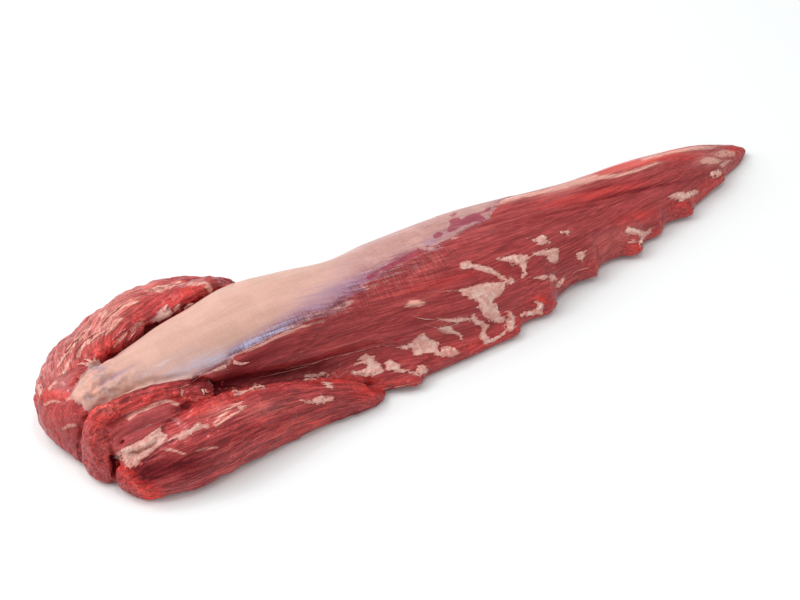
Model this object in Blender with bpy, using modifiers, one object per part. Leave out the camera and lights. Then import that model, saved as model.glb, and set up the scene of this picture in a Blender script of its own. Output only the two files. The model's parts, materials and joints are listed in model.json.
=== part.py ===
"""A whole raw beef tenderloin, lying on its flat underside with the thick head at -X and the thin tail at +X.

The long main muscle tapers from head to tail. At the head a thick back lobe wraps round its end, and two
front lobes lie along its near side (-Y). A thin flank strip runs along the near edge, which stands out in
small tongues where fat and sinew were trimmed away. All of it is one piece of meat, so it is one solid.
"""

import math

import bmesh
import bpy
import numpy as np
from mathutils import Vector, noise

MM = 0.001

# The lofts: sizes in millimetres, and how blunt the very tip of a nose is, as a share of its rounding
RING_SPACING = 3.0
RING_POINTS = 56
FEWEST_RINGS = 6
BLUNTNESS = 0.06

# The finished mesh: the even grid that the lobes are fused on, its softening, and its number of triangles
VOXEL = 1.8
SOFTENING = 0.5
SOFTENING_ROUNDS = 3
TRIANGLES = 11400

# The underside reaches this far below the table, before a slab of this length and thickness cuts it flat there
SINK = 2.0
SLAB_LENGTH = 1000.0
SLAB_THICKNESS = 100.0

# Each muscle is a list of stations along its ridge line, seen from above, in millimetres: x and y of the ridge,
# near width, far width, ridge height, and the height at which the near side and the far side are widest
MAIN_MUSCLE = (
    (-262, -18, 10, 14, 46, 36, 32),
    (-245, -21, 19, 20, 54, 32, 30),
    (-212, -25, 26, 32, 59, 26, 27),
    (-173, -26, 29, 47, 62, 24, 25),
    (-118, -24, 31, 59, 64, 20, 25),
    (-80, -21, 34, 50, 62, 19, 23),
    (-50, -18, 42, 43, 59, 17, 22),
    (-15, -17, 49, 46, 58, 14, 21),
    (20, -13, 56, 44, 56, 11, 20),
    (60, -8, 58, 37, 52, 9, 18),
    (103, -3, 53, 29, 47, 8, 17),
    (147, 0, 45, 21, 41, 7, 16),
    (185, 2, 42, 20, 38, 6, 14),
    (215, 3, 34, 20, 35, 6, 13),
    (252, 5, 27, 16, 30, 6, 11),
    (285, 9, 18, 9, 21, 5, 8),
    (303, 10, 12, 5, 14, 4, 6),
    (318, 10, 6, 3, 9, 4, 5),
)
BACK_LOBE = (
    (-98, 38, 10, 10, 28, 14, 14),
    (-128, 46, 20, 17, 41, 18, 18),
    (-165, 49, 24, 22, 47, 20, 20),
    (-202, 37, 27, 25, 49, 20, 20),
    (-228, 18, 28, 31, 49, 18, 22),
    (-240, -5, 26, 33, 49, 16, 19),
    (-242, -30, 22, 21, 46, 14, 12),
    (-240, -46, 18, 16, 34, 12, 10),
)
BACK_KNOB = (
    (-184, 27, 11, 10, 40, 22, 22),
    (-160, 31, 15, 13, 50, 26, 26),
    (-132, 37, 15, 13, 49, 26, 26),
    (-104, 43, 10, 9, 35, 20, 20),
)
MIDDLE_LOBE = (
    (-262, -48, 14, 14, 42, 14, 14),
    (-238, -44, 18, 15, 51, 16, 16),
    (-212, -43, 20, 15, 53, 20, 20),
    (-186, -46, 18, 15, 48, 20, 20),
    (-160, -50, 12, 14, 36, 16, 18),
)
FRONT_LOBE = (
    (-250, -72, 13, 12, 24, 10, 10),
    (-232, -69, 22, 16, 33, 12, 13),
    (-200, -65, 30, 18, 40, 13, 15),
    (-165, -64, 27, 18, 40, 11, 14),
    (-132, -67, 21, 18, 34, 9, 12),
    (-102, -71, 15, 16, 26, 7, 10),
    (-80, -77, 11, 12, 17, 5, 8),
    (-61, -84, 5, 6, 9, 4, 5),
)
FLANK_STRIP = (
    (-104, -54, 10, 16, 20, 7, 10),
    (-66, -57, 21, 20, 21, 6, 10),
    (-25, -56, 24, 24, 19, 6, 10),
    (20, -50, 28, 28, 18, 5, 9),
    (70, -44, 21, 26, 15, 5, 8),
    (115, -36, 14, 22, 13, 4, 7),
)

# How square each quarter of a section is: 2 is an ellipse, less is leaner, more is boxier
FAR_SQUARENESS = 2.15
NEAR_SQUARENESS = 1.8
FLAT_FACE_SQUARENESS = 1.45
UNDER_SQUARENESS = 3.2

# Tongues of meat that stand out along the near edge: x of the tip, reach, length headwards, length tailwards
EDGE_TONGUES = (
    (-38, 8, 14, 5),
    (45, 6, 14, 5),
    (76, 8, 12, 6),
    (128, 8, 13, 5),
    (170, 10, 14, 6),
    (199, 4, 9, 4),
    (231, 8, 13, 6),
    (275, 3, 10, 5),
)
TONGUE_SHARPNESS = 9
MAIN_MUSCLE_TONGUES = EDGE_TONGUES[2:]

# How the seams between the lobes are opened up: smoothing rounds, gain, and the most that a seam gets deeper.
# The meat's weight keeps the seams on the underside shut: they open between these two heights.
CREASE_ROUNDS = 40
CREASE_GAIN = 2.5
CREASE_DEPTH = 4.5
CREASE_HEIGHTS = (5.0, 12.0)

# Unevenness of the surface: (wavelength along the muscle, wavelength across it, depth, where its noise starts)
LUMPS = (
    (46, 24, 1.6, 0.0),
    (90, 9, 0.8, 7.3),
)


def station_curve(stations):
    """Smooth columns through the stations, sampled every RING_SPACING along the ridge."""
    table = np.array(stations, float)
    steps = np.hypot(np.diff(table[:, 0]), np.diff(table[:, 1]))
    along = np.concatenate(([0.0], np.cumsum(steps)))
    slopes = np.gradient(table, along, axis=0)
    count = max(FEWEST_RINGS, int(along[-1] / RING_SPACING))
    places = np.linspace(0.0, along[-1], count)
    index = np.clip(np.searchsorted(along, places, side="right") - 1, 0, len(along) - 2)
    span = (along[index + 1] - along[index])[:, None]
    t = (places - along[index])[:, None] / span
    start, end = table[index], table[index + 1]
    lean, land = slopes[index] * span, slopes[index + 1] * span
    return (
        (2 * t**3 - 3 * t**2 + 1) * start
        + (t**3 - 2 * t**2 + t) * lean
        + (3 * t**2 - 2 * t**3) * end
        + (t**3 - t**2) * land
    )


def edge_reach(x, tongues):
    """How far the trimmed near edge stands out at x."""
    total = 0.0
    for tip, reach, headward, tailward in tongues:
        length = headward if x < tip else tailward
        total += reach * math.exp(-(((x - tip) / length) ** 2))
    return total


def section(row, across, near_squareness, tongues):
    """One section of a muscle: rounded above, widest at each side's level, and squarer below."""
    x, y, near, far, top, near_level, far_level = row
    reach = edge_reach(x, tongues)
    points = []
    for i in range(RING_POINTS):
        angle = 2 * math.pi * i / RING_POINTS
        side, rise = math.cos(angle), math.sin(angle)
        width, level = (far, far_level) if side >= 0 else (near, near_level)
        above = FAR_SQUARENESS if side >= 0 else near_squareness
        power = 2 / (above if rise >= 0 else UNDER_SQUARENESS)
        height = top - level if rise >= 0 else level + SINK
        out = math.copysign(abs(side) ** power, side) * width
        if side < 0:
            out -= reach * abs(side) ** TONGUE_SHARPNESS
        up = level + math.copysign(abs(rise) ** power, rise) * height
        points.append((x + across[0] * out, y + across[1] * out, up))
    return np.array(points)


def muscle(home, name, stations, end_rounding, far_side=1, near_squareness=NEAR_SQUARENESS, tongues=()):
    """A closed loft through the sections, with both ends drawn in to a rounded nose."""
    rows = station_curve(stations)
    heading = np.gradient(rows[:, :2], axis=0)
    heading /= np.linalg.norm(heading, axis=1)[:, None]
    mesh = bmesh.new()
    rings = []
    last = len(rows) - 1
    for i, row in enumerate(rows):
        across = (-heading[i, 1] * far_side, heading[i, 0] * far_side)
        points = section(row, across, near_squareness, tongues)
        from_end = min(i, last - i) * RING_SPACING / end_rounding
        draw_in = math.sqrt(1 - (1 - min(1.0, max(BLUNTNESS, from_end))) ** 2)
        middle = np.array((row[0], row[1], (row[5] + row[6]) / 2))
        points = middle + (points - middle) * draw_in
        rings.append([mesh.verts.new(Vector(p) * MM) for p in points])
    for a, b in zip(rings, rings[1:]):
        for i in range(RING_POINTS):
            j = (i + 1) % RING_POINTS
            mesh.faces.new((a[i], a[j], b[j], b[i]))
    mesh.faces.new(rings[0])
    mesh.faces.new(rings[-1])
    bmesh.ops.recalc_face_normals(mesh, faces=mesh.faces)
    data = bpy.data.meshes.new(name)
    mesh.to_mesh(data)
    mesh.free()
    obj = bpy.data.objects.new(name, data)
    home.objects.link(obj)
    return obj


def apply_modifiers(obj):
    """Replaces the object's mesh by what its modifiers make of it."""
    graph = bpy.context.evaluated_depsgraph_get()
    made = bpy.data.meshes.new_from_object(obj.evaluated_get(graph))
    obj.modifiers.clear()
    obj.data = made


def fuse(body, others):
    """Joins the lobes to the main muscle and softens the seams between them."""
    joined = bpy.data.collections.new("joined_lobes")
    for obj in others:
        joined.objects.link(obj)
    union = body.modifiers.new("union", "BOOLEAN")
    union.operation = "UNION"
    union.operand_type = "COLLECTION"
    union.collection = joined
    union.solver = "EXACT"
    even = body.modifiers.new("even", "REMESH")
    even.mode = "VOXEL"
    even.voxel_size = VOXEL * MM
    soften = body.modifiers.new("soften", "SMOOTH")
    soften.factor = SOFTENING
    soften.iterations = SOFTENING_ROUNDS
    apply_modifiers(body)
    for obj in others:
        bpy.data.objects.remove(obj)
    bpy.data.collections.remove(joined)


def deepen_creases(body):
    """Pushes the hollows between lobes further in, where a lobe only leans on its neighbour."""
    data = body.data
    points = np.empty(len(data.vertices) * 3)
    data.vertices.foreach_get("co", points)
    points = points.reshape(-1, 3)
    normals = np.empty(len(data.vertices) * 3)
    data.vertex_normals.foreach_get("vector", normals)
    normals = normals.reshape(-1, 3)
    ends = np.empty(len(data.edges) * 2, int)
    data.edges.foreach_get("vertices", ends)
    a, b = ends.reshape(-1, 2).T
    neighbours = np.bincount(a, minlength=len(points)) + np.bincount(b, minlength=len(points))
    smooth = points.copy()
    for _ in range(CREASE_ROUNDS):
        total = np.zeros_like(smooth)
        np.add.at(total, a, smooth[b])
        np.add.at(total, b, smooth[a])
        smooth = total / neighbours[:, None]
    hollow = np.einsum("ij,ij->i", smooth - points, normals)
    depth = np.minimum(np.maximum(hollow, 0) * CREASE_GAIN, CREASE_DEPTH * MM)
    shut, open_from = CREASE_HEIGHTS
    depth *= np.clip((points[:, 2] / MM - shut) / (open_from - shut), 0, 1)
    points -= normals * depth[:, None]
    data.vertices.foreach_set("co", points.ravel())
    data.update()


def roughen(body):
    """Uneven lumps and long shallow bundles of fibre that run along the muscle."""
    mesh = bmesh.new()
    mesh.from_mesh(body.data)
    mesh.normal_update()
    moved = []
    for vert in mesh.verts:
        place = vert.co / MM
        rise = 0.0
        for along, across, depth, start in LUMPS:
            spot = Vector((place.x / along, place.y / across, place.z / across + start))
            rise += noise.noise(spot) * depth
        moved.append(vert.co + vert.normal * rise * MM)
    for vert, place in zip(mesh.verts, moved):
        vert.co = place
    mesh.to_mesh(body.data)
    mesh.free()


def lighten(body):
    """Fewer triangles, kept where the shape bends most."""
    fewer = body.modifiers.new("fewer", "DECIMATE")
    fewer.use_collapse_triangulate = True
    fewer.ratio = TRIANGLES / (2 * len(body.data.polygons))
    apply_modifiers(body)


def cut_flat(body, cutters):
    """Takes off what reaches below the table, so that the meat rests on a flat underside."""
    bpy.ops.mesh.primitive_cube_add(size=SLAB_LENGTH * MM, location=(0, 0, -SLAB_THICKNESS * MM / 2))
    below = bpy.context.object
    below.scale.z = SLAB_THICKNESS / SLAB_LENGTH
    cutters.objects.link(below)
    cut = body.modifiers.new("table", "BOOLEAN")
    cut.operation = "DIFFERENCE"
    cut.object = below
    cut.solver = "EXACT"
    bpy.context.view_layer.update()
    apply_modifiers(body)
    bpy.data.objects.remove(below)


def centre(body):
    """Puts the origin under the middle of the meat, at the table."""
    corners = np.array([v.co for v in body.data.vertices])
    middle = (corners.min(axis=0) + corners.max(axis=0)) / 2
    for vert in body.data.vertices:
        vert.co.x -= middle[0]
        vert.co.y -= middle[1]
    return middle / MM


def meat_material():
    """Dark red, moist raw meat."""
    red = bpy.data.materials.new("raw_beef")
    red.use_nodes = True
    shader = red.node_tree.nodes["Principled BSDF"]
    shader.inputs["Base Color"].default_value = (0.36, 0.045, 0.045, 1.0)
    shader.inputs["Roughness"].default_value = 0.4
    shader.inputs["Metallic"].default_value = 0.0
    return red


def new_collection(name):
    made = bpy.data.collections.new(name)
    bpy.context.scene.collection.children.link(made)
    return made


def main():
    for obj in list(bpy.data.objects):
        bpy.data.objects.remove(obj)
    meat = new_collection("beef_tenderloin")
    cutters = new_collection("cutters")
    body = muscle(meat, "beef_tenderloin", MAIN_MUSCLE, 16, tongues=MAIN_MUSCLE_TONGUES)
    lobes = [
        muscle(meat, "back_lobe", BACK_LOBE, 14, far_side=-1, near_squareness=FAR_SQUARENESS),
        muscle(meat, "back_knob", BACK_KNOB, 10, near_squareness=FAR_SQUARENESS),
        muscle(meat, "middle_lobe", MIDDLE_LOBE, 10, near_squareness=FLAT_FACE_SQUARENESS),
        muscle(meat, "front_lobe", FRONT_LOBE, 10, near_squareness=FAR_SQUARENESS),
        muscle(meat, "flank_strip", FLANK_STRIP, 20, tongues=EDGE_TONGUES),
    ]
    fuse(body, lobes)
    deepen_creases(body)
    roughen(body)
    lighten(body)
    cut_flat(body, cutters)
    middle = centre(body)
    body.data.materials.clear()
    body.data.materials.append(meat_material())
    return middle


TABLE_ORIGIN = main()
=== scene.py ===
# %% [markdown]
# # A raw beef tenderloin
#
# A tenderloin is one long muscle with a few smaller ones grown on to its thick end. It comes out of the
# frame as a plain solid. Here it gets the skin that makes it meat: fibres that run along each muscle,
# the pale film called silver skin, patches of fat, and the loose bits that a knife leaves.

# %% Load the frame
import json
import math

import bmesh
import bpy
import numpy as np
from mathutils import Matrix, Vector, noise
from mathutils.bvhtree import BVHTree

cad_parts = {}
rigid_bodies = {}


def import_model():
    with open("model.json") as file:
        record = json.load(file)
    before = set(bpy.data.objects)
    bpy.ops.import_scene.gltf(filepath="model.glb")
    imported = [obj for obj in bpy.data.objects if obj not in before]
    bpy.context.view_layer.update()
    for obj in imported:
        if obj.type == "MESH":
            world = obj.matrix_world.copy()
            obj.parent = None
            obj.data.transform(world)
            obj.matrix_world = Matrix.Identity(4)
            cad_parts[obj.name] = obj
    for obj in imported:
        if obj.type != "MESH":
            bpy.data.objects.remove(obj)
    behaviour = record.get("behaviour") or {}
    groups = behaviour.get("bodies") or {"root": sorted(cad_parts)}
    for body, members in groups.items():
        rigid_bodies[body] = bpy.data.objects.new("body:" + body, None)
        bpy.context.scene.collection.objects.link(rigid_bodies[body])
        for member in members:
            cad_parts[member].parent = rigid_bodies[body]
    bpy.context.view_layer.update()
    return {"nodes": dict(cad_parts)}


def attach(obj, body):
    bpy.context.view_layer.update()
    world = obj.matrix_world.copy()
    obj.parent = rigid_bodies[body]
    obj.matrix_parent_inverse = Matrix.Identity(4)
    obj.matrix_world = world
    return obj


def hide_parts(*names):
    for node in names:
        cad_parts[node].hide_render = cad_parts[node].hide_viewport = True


for leftover in list(bpy.data.objects):
    bpy.data.objects.remove(leftover)
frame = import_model()
MM = 0.001
node = frame["nodes"]["beef_tenderloin"]

# %% [markdown]
# ## The camera comes first
#
# The patches of fat and the edges of the film were read off the photograph, in its own pixels. To put
# them on the meat, the script must know which point of the meat each pixel shows, so the camera is
# settled before anything else. The same few numbers place Blender's camera and work out the pixel of
# any point.

# %% Place the camera
PHOTO_SIZE = (800, 600)
SENSOR = 36.0
AZIMUTH, ELEVATION = math.radians(-31.7), math.radians(40.0)
CAMERA_DISTANCE = 1.4
PIXELS_PER_MM = 1.42
AIM = Vector((-23.0, 12.0, 0.0)) * MM

backwards = Vector((
    math.sin(AZIMUTH) * math.cos(ELEVATION),
    -math.cos(AZIMUTH) * math.cos(ELEVATION),
    math.sin(ELEVATION),
))
camera_data = bpy.data.cameras.new("camera")
camera_data.sensor_width = SENSOR
camera_data.lens = SENSOR * (CAMERA_DISTANCE / MM) * PIXELS_PER_MM / PHOTO_SIZE[0]
camera = bpy.data.objects.new("camera", camera_data)
camera.location = AIM + backwards * CAMERA_DISTANCE
camera.rotation_mode = "QUATERNION"
camera.rotation_quaternion = (-backwards).to_track_quat("-Z", "Y")
bpy.context.scene.collection.objects.link(camera)
bpy.context.scene.camera = camera
print("lens:", round(camera_data.lens, 2), "mm")


# %% Work out the pixel of a point
def to_pixels(points):
    """The photo's pixel of each point, in metres."""
    turn = np.array(camera.rotation_quaternion.to_matrix())
    seen = (np.asarray(points) - np.array(camera.location)) @ turn
    scale = camera_data.lens / SENSOR * PHOTO_SIZE[0] / -seen[:, 2]
    return np.stack((
        PHOTO_SIZE[0] / 2 + seen[:, 0] * scale,
        PHOTO_SIZE[1] / 2 - seen[:, 1] * scale,
    ), axis=1)


print("the aim is at pixel", to_pixels([AIM])[0].round(1))

# %% [markdown]
# ## The skin of the meat
#
# The frame's solid has large triangles. Cutting them finer would keep their facets, so a voxel remesh
# lays an even net of small squares over the solid, which can carry fine relief. Before that, a few
# flattened balls bridge two muscles where the photo shows one face or one ridge over both. The net is
# then smoothed, because the facets would otherwise show in the wet gloss. Smoothing fills in the seams
# between the muscles, so they are pushed in again afterwards.

# %% Lay an even net over the solid
# In millimetres: the squares of the net, and the gap below which two points are one
NET = 0.9
WELD_GAP = 0.01
SMOOTHING_ROUNDS = 20


def object_from(mesh, name):
    made = bpy.data.objects.new(name, mesh)
    bpy.context.scene.collection.objects.link(made)
    return made


def plain_mesh(obj):
    """The object's mesh after its modifiers, which are taken off."""
    graph = bpy.context.evaluated_depsgraph_get()
    made = bpy.data.meshes.new_from_object(obj.evaluated_get(graph))
    obj.modifiers.clear()
    return made


# Where a cut face or a ridge lies over two muscles: its middle and half sizes in millimetres, and how far
# it is tilted about X, in degrees
BRIDGES = {
    "middle_face": ((-217, -55, 37.5), (31, 12, 5.5), 37),
    "middle_rim": ((-244, -46, 48.5), (11, 6, 4.5), 20),
    "middle_ridge": ((-212, -45, 49.0), (30, 5, 3.0), 15),
    "front_ridge": ((-224, -67, 35.5), (24, 6, 4.0), 5),
    "middle_foot": ((-241, -57, 29.0), (12, 7, 6.0), 40),
    "torn_root": ((-186, -52, 40.0), (14, 8, 5.0), 30),
    "knob_root": ((-158, 41, 42.5), (30, 10, 5.5), -5),
    "knob_heel": ((-177, 33, 42.0), (13, 9, 5.5), 0),
}
solid = bmesh.new()
solid.from_mesh(node.data)
for middle, half_sizes, tilt in BRIDGES.values():
    made = bmesh.ops.create_icosphere(solid, subdivisions=4, radius=MM)
    bmesh.ops.scale(solid, verts=made["verts"], vec=half_sizes)
    bmesh.ops.rotate(solid, verts=made["verts"], matrix=Matrix.Rotation(math.radians(tilt), 3, "X"))
    bmesh.ops.translate(solid, verts=made["verts"], vec=Vector(middle) * MM + AIM)
skin_mesh = bpy.data.meshes.new("meat")
solid.to_mesh(skin_mesh)
solid.free()
skin = object_from(skin_mesh, "meat")
weld = skin.modifiers.new("weld", "WELD")
weld.merge_threshold = WELD_GAP * MM
net = skin.modifiers.new("net", "REMESH")
net.mode = "VOXEL"
net.voxel_size = NET * MM
skin.data = plain_mesh(skin)
print("the net has", len(skin.data.vertices), "points")


# %% Read and write the net as arrays
def read(mesh, what="co"):
    """The places or the normals of a mesh's points."""
    values = np.empty(len(mesh.vertices) * 3)
    if what == "co":
        mesh.vertices.foreach_get("co", values)
    else:
        mesh.vertex_normals.foreach_get("vector", values)
    return values.reshape(-1, 3)


def write(mesh, places):
    mesh.vertices.foreach_set("co", places.ravel())
    mesh.update()


ends = np.empty(len(skin.data.edges) * 2, int)
skin.data.edges.foreach_get("vertices", ends)
EDGE_A, EDGE_B = ends.reshape(-1, 2).T
COUNT = len(skin.data.vertices)
NEIGHBOURS = np.bincount(EDGE_A, minlength=COUNT) + np.bincount(EDGE_B, minlength=COUNT)


def neighbour_mean(values):
    """The mean of each point's neighbours."""
    columns = values.reshape(COUNT, -1)
    total = np.stack([
        np.bincount(EDGE_A, column[EDGE_B], COUNT) + np.bincount(EDGE_B, column[EDGE_A], COUNT)
        for column in columns.T
    ], axis=1)
    return (total / NEIGHBOURS[:, None]).reshape(values.shape)


# %% Smooth the net, and open the seams again
def ease(values, low, high):
    """0 below low, 1 above high, and smooth between them."""
    t = np.clip((values - low) / (high - low), 0, 1)
    return t * t * (3 - 2 * t)


# Each round shrinks the net and swells it again, so that the meat keeps its size
SHRINK, GROW = 0.6, -0.62
# A seam is where much more softening would fill a hollow. It goes in by the gain times that, but by no
# more than the depth, and not below the heights, where the meat lies on the table
SEAM_ROUNDS = 58
SEAM_GAIN = 1.6
SEAM_DEPTH = 3.0
SEAM_HEIGHTS = (5.0, 12.0)

places = read(skin.data)
for _ in range(SMOOTHING_ROUNDS):
    for amount in (SHRINK, GROW):
        places = places + (neighbour_mean(places) - places) * amount
write(skin.data, places)
normals = read(skin.data, "normal")
softened = places
for _ in range(SEAM_ROUNDS):
    softened = neighbour_mean(softened)
hollow = np.einsum("ij,ij->i", softened - places, normals) / MM
above = ease(places[:, 2] / MM, *SEAM_HEIGHTS)
seam = np.minimum(np.maximum(hollow, 0) * SEAM_GAIN, SEAM_DEPTH) * above
places = places - normals * (seam * MM)[:, None]
print("the deepest seam goes in another", round(float(seam.max()), 1), "mm")

# %% [markdown]
# ## Which way the fibres run
#
# Meat looks like meat because its fibres all run along the muscle. A noise that is drawn out along the
# fibres gives streaks on the flank and, with no more work, the fine grain of cut fibres on an end. For
# that, every point of the net needs its place in its own muscle's measures: how far along, how far
# across and how high. Each muscle is described by a spine, a short row of places with a half width, the
# height of the middle being its half height too. A point belongs to the muscle whose middle it is
# nearest to, measured in half widths.

# %% Describe the spines
# x, y, height of the middle and half width, in millimetres from the point that the camera aims at
SPINES = {
    "main": (
        (-262, -16, 30, 20), (-212, -22, 30, 34), (-173, -17, 31, 40), (-118, -10, 32, 46),
        (-50, -17, 30, 43), (20, -19, 27, 50), (60, -18, 25, 48), (103, -15, 22, 42),
        (147, -12, 20, 34), (215, -4, 17, 28), (285, 5, 10, 14), (318, 8, 6, 8)),
    "back": (
        (-98, 38, 14, 12), (-128, 45, 20, 19), (-165, 48, 23, 23), (-202, 36, 24, 26),
        (-228, 18, 24, 29), (-240, -5, 24, 29), (-242, -30, 22, 22), (-240, -50, 16, 17)),
    "knob": ((-184, 27, 25, 12), (-160, 31, 28, 15), (-132, 37, 28, 15), (-104, 43, 20, 10)),
    "middle": (
        (-262, -48, 21, 14), (-238, -46, 26, 18), (-212, -46, 27, 19), (-186, -48, 25, 17),
        (-160, -50, 18, 13)),
    "front": (
        (-250, -73, 13, 13), (-232, -72, 17, 19), (-200, -72, 20, 25), (-165, -70, 20, 24),
        (-132, -69, 17, 20), (-102, -70, 13, 16), (-80, -76, 9, 12), (-61, -84, 5, 6)),
    "strip": (
        (-104, -52, 9, 12), (-66, -57, 10, 18), (-25, -56, 10, 22), (20, -50, 9, 26), (70, -42, 8, 22),
        (115, -33, 7, 17)),
}
MUSCLES = list(SPINES)
# Each muscle's noise starts this much further on, so that no two look the same
APART = 97.0
HEAD_MIDDLE, HEAD_RADIUS = (-170.0, -12.0), 70.0
# A spine is eased over so many short steps, and runs on past its ends
STEP, PAST_ENDS, EASED_OVER = 2.0, 40.0, 21


def how_far_out(points, rows):
    """How far each point lies from a spine, in half widths."""
    rows = np.array(rows, float)
    best = np.full(len(points), np.inf)
    for low, high in zip(rows, rows[1:]):
        run = high[:2] - low[:2]
        t = np.clip((points[:, :2] - low[:2]) @ run / (run @ run), 0, 1)
        middle = low + t[:, None] * (high - low)
        wide = np.hypot(*(points[:, :2] - middle[:, :2]).T) / middle[:, 3]
        tall = (points[:, 2] - middle[:, 2]) / middle[:, 2]
        best = np.minimum(best, np.hypot(wide, tall))
    return best


def along_the_muscle(points, rows):
    """A straight muscle's measures, without its bends and taper: along, across and up, in millimetres."""
    rows = np.array(rows, float)
    steps = np.arange(rows[0, 0] - PAST_ENDS, rows[-1, 0] + PAST_ENDS, STEP)
    share = np.ones(EASED_OVER) / EASED_OVER
    eased = [
        np.convolve(np.pad(np.interp(steps, rows[:, 0], column), EASED_OVER // 2, "edge"), share, "valid")
        for column in rows[:, 1:].T
    ]
    side, height, half = (np.interp(points[:, 0], steps, column) for column in eased)
    across = (points[:, 1] - side) / half * rows[:, 3].mean()
    up = (points[:, 2] - height) / height * rows[:, 2].mean()
    return np.stack((points[:, 0], across, up), axis=1)


def round_the_head(points):
    """The back lobe's measures: it bends round the end of the head, so they go round, outwards and up."""
    off = points[:, :2] - HEAD_MIDDLE
    way_round = np.arctan2(off[:, 1], -off[:, 0]) * HEAD_RADIUS
    return np.stack((way_round, np.hypot(*off.T), points[:, 2]), axis=1)


# %% Give every point its muscle and its place in it
measured = (places - np.array(AIM)) / MM
measured[:, 2] = places[:, 2] / MM
owner = np.argmin([how_far_out(measured, rows) for rows in SPINES.values()], axis=0)
on_main = owner == MUSCLES.index("main")
on_flank = on_main | (owner == MUSCLES.index("strip"))
fibre = np.zeros((COUNT, 3))
for number, name in enumerate(MUSCLES):
    own = owner == number
    if name == "back":
        fibre[own] = round_the_head(measured[own])
    else:
        fibre[own] = along_the_muscle(measured[own], SPINES["main" if name == "strip" else name])
    fibre[own, 2] += 0 if name == "strip" else number * APART
print("points for each muscle:", dict(zip(MUSCLES, np.bincount(owner, minlength=len(MUSCLES)).tolist())))

# %% [markdown]
# ## Marks read off the photograph
#
# Fat, film and colour are drawn as outlines, lines and soft spots in the photo's pixels. A point of the
# net takes a mark only if the camera can see it, which a ray to the camera tells. Past the meat's
# horizon a mark runs on over the back for as far as it is wide, so that it ends there as softly as it
# does in front.

# %% See which points the camera sees
write(skin.data, places)
normals = read(skin.data, "normal")
pixels = to_pixels(places)
LIFT = 1.5 * MM
hiding = BVHTree.FromPolygons(places.tolist(), [tuple(face.vertices) for face in skin.data.polygons])
to_camera = np.array(camera.location) - places
facing = np.einsum("ij,ij->i", normals, to_camera) > 0
seen = np.zeros(COUNT, bool)
for i in np.flatnonzero(facing):
    start = Vector(places[i] + normals[i] * LIFT)
    seen[i] = hiding.ray_cast(start, Vector(to_camera[i]))[0] is None
print(int(seen.sum()), "of", COUNT, "points are seen")

# %% Draw outlines and soft spots on the net
# The depth, in pixels, of a point that is outside every outline
FAR_OUT = -30.0
# How many steps of the net a mark runs on past the horizon, and how much a spot loses at each
PAST_HORIZON = 14
SPOT_LOSS = 0.05
SPOT_SOFTENING = 2


def run_past_horizon(values, loss=NET * PIXELS_PER_MM, floor=FAR_OUT):
    """Carries a mark from the seen points to those behind, losing a little at each step."""
    known = seen.copy()
    values = np.where(known, values, floor)
    for _ in range(PAST_HORIZON):
        weight = neighbour_mean(known.astype(float))
        fresh = ~known & (weight > 0)
        mean = neighbour_mean(np.where(known, values, 0.0))
        values[fresh] = np.maximum(mean[fresh] / weight[fresh] - loss, floor)
        known |= fresh
    return values


def inside(outline, margin=12):
    """How many pixels inside the outline each point lies, less than nothing outside."""
    corners = np.array(outline, float)
    low, high = corners.min(axis=0) - margin, corners.max(axis=0) + margin
    near = np.flatnonzero(((pixels > low) & (pixels < high)).all(axis=1))
    spots = pixels[near]
    nearest = np.full(len(near), np.inf)
    within = np.zeros(len(near), bool)
    for a, b in zip(corners, np.roll(corners, -1, axis=0)):
        run = b - a
        t = np.clip((spots - a) @ run / (run @ run), 0, 1)
        nearest = np.minimum(nearest, np.hypot(*(spots - a - t[:, None] * run).T))
        if a[1] != b[1]:
            crosses = (a[1] > spots[:, 1]) != (b[1] > spots[:, 1])
            within ^= crosses & (spots[:, 0] < a[0] + (spots[:, 1] - a[1]) * run[0] / run[1])
    values = np.full(COUNT, FAR_OUT)
    values[near] = np.where(within, nearest, -nearest)
    return values


def patches(outlines):
    """How deep each point lies in the deepest of the outlines."""
    deepest = np.full(COUNT, FAR_OUT)
    for outline in outlines.values():
        deepest = np.maximum(deepest, inside(outline))
    return run_past_horizon(deepest)


def soft_spots(spots):
    """The sum of soft spots: x, y, length, width, tilt in degrees up to the right, and strength."""
    total = np.zeros(COUNT)
    for x, y, length, width, tilt, strength in spots:
        turn = math.radians(tilt)
        off = pixels - (x, y)
        lengthwise = off[:, 0] * math.cos(turn) - off[:, 1] * math.sin(turn)
        crosswise = off[:, 0] * math.sin(turn) + off[:, 1] * math.cos(turn)
        total += strength * np.exp(-((lengthwise / length) ** 2 + (crosswise / width) ** 2))
    total = run_past_horizon(total, loss=SPOT_LOSS, floor=0.0)
    for _ in range(SPOT_SOFTENING):
        total = 0.5 * total + 0.5 * neighbour_mean(total)
    return total


# %% [markdown]
# ## Fat
#
# Fat lies on the flank in flat patches with torn edges. Each could be a thin mesh of its own, but fat
# clings to the meat without a gap, so here it is a mark on the skin: the skin is raised there, and the
# material turns pale. An outline has only its corners, and noise in the material makes its edge ragged.

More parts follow.
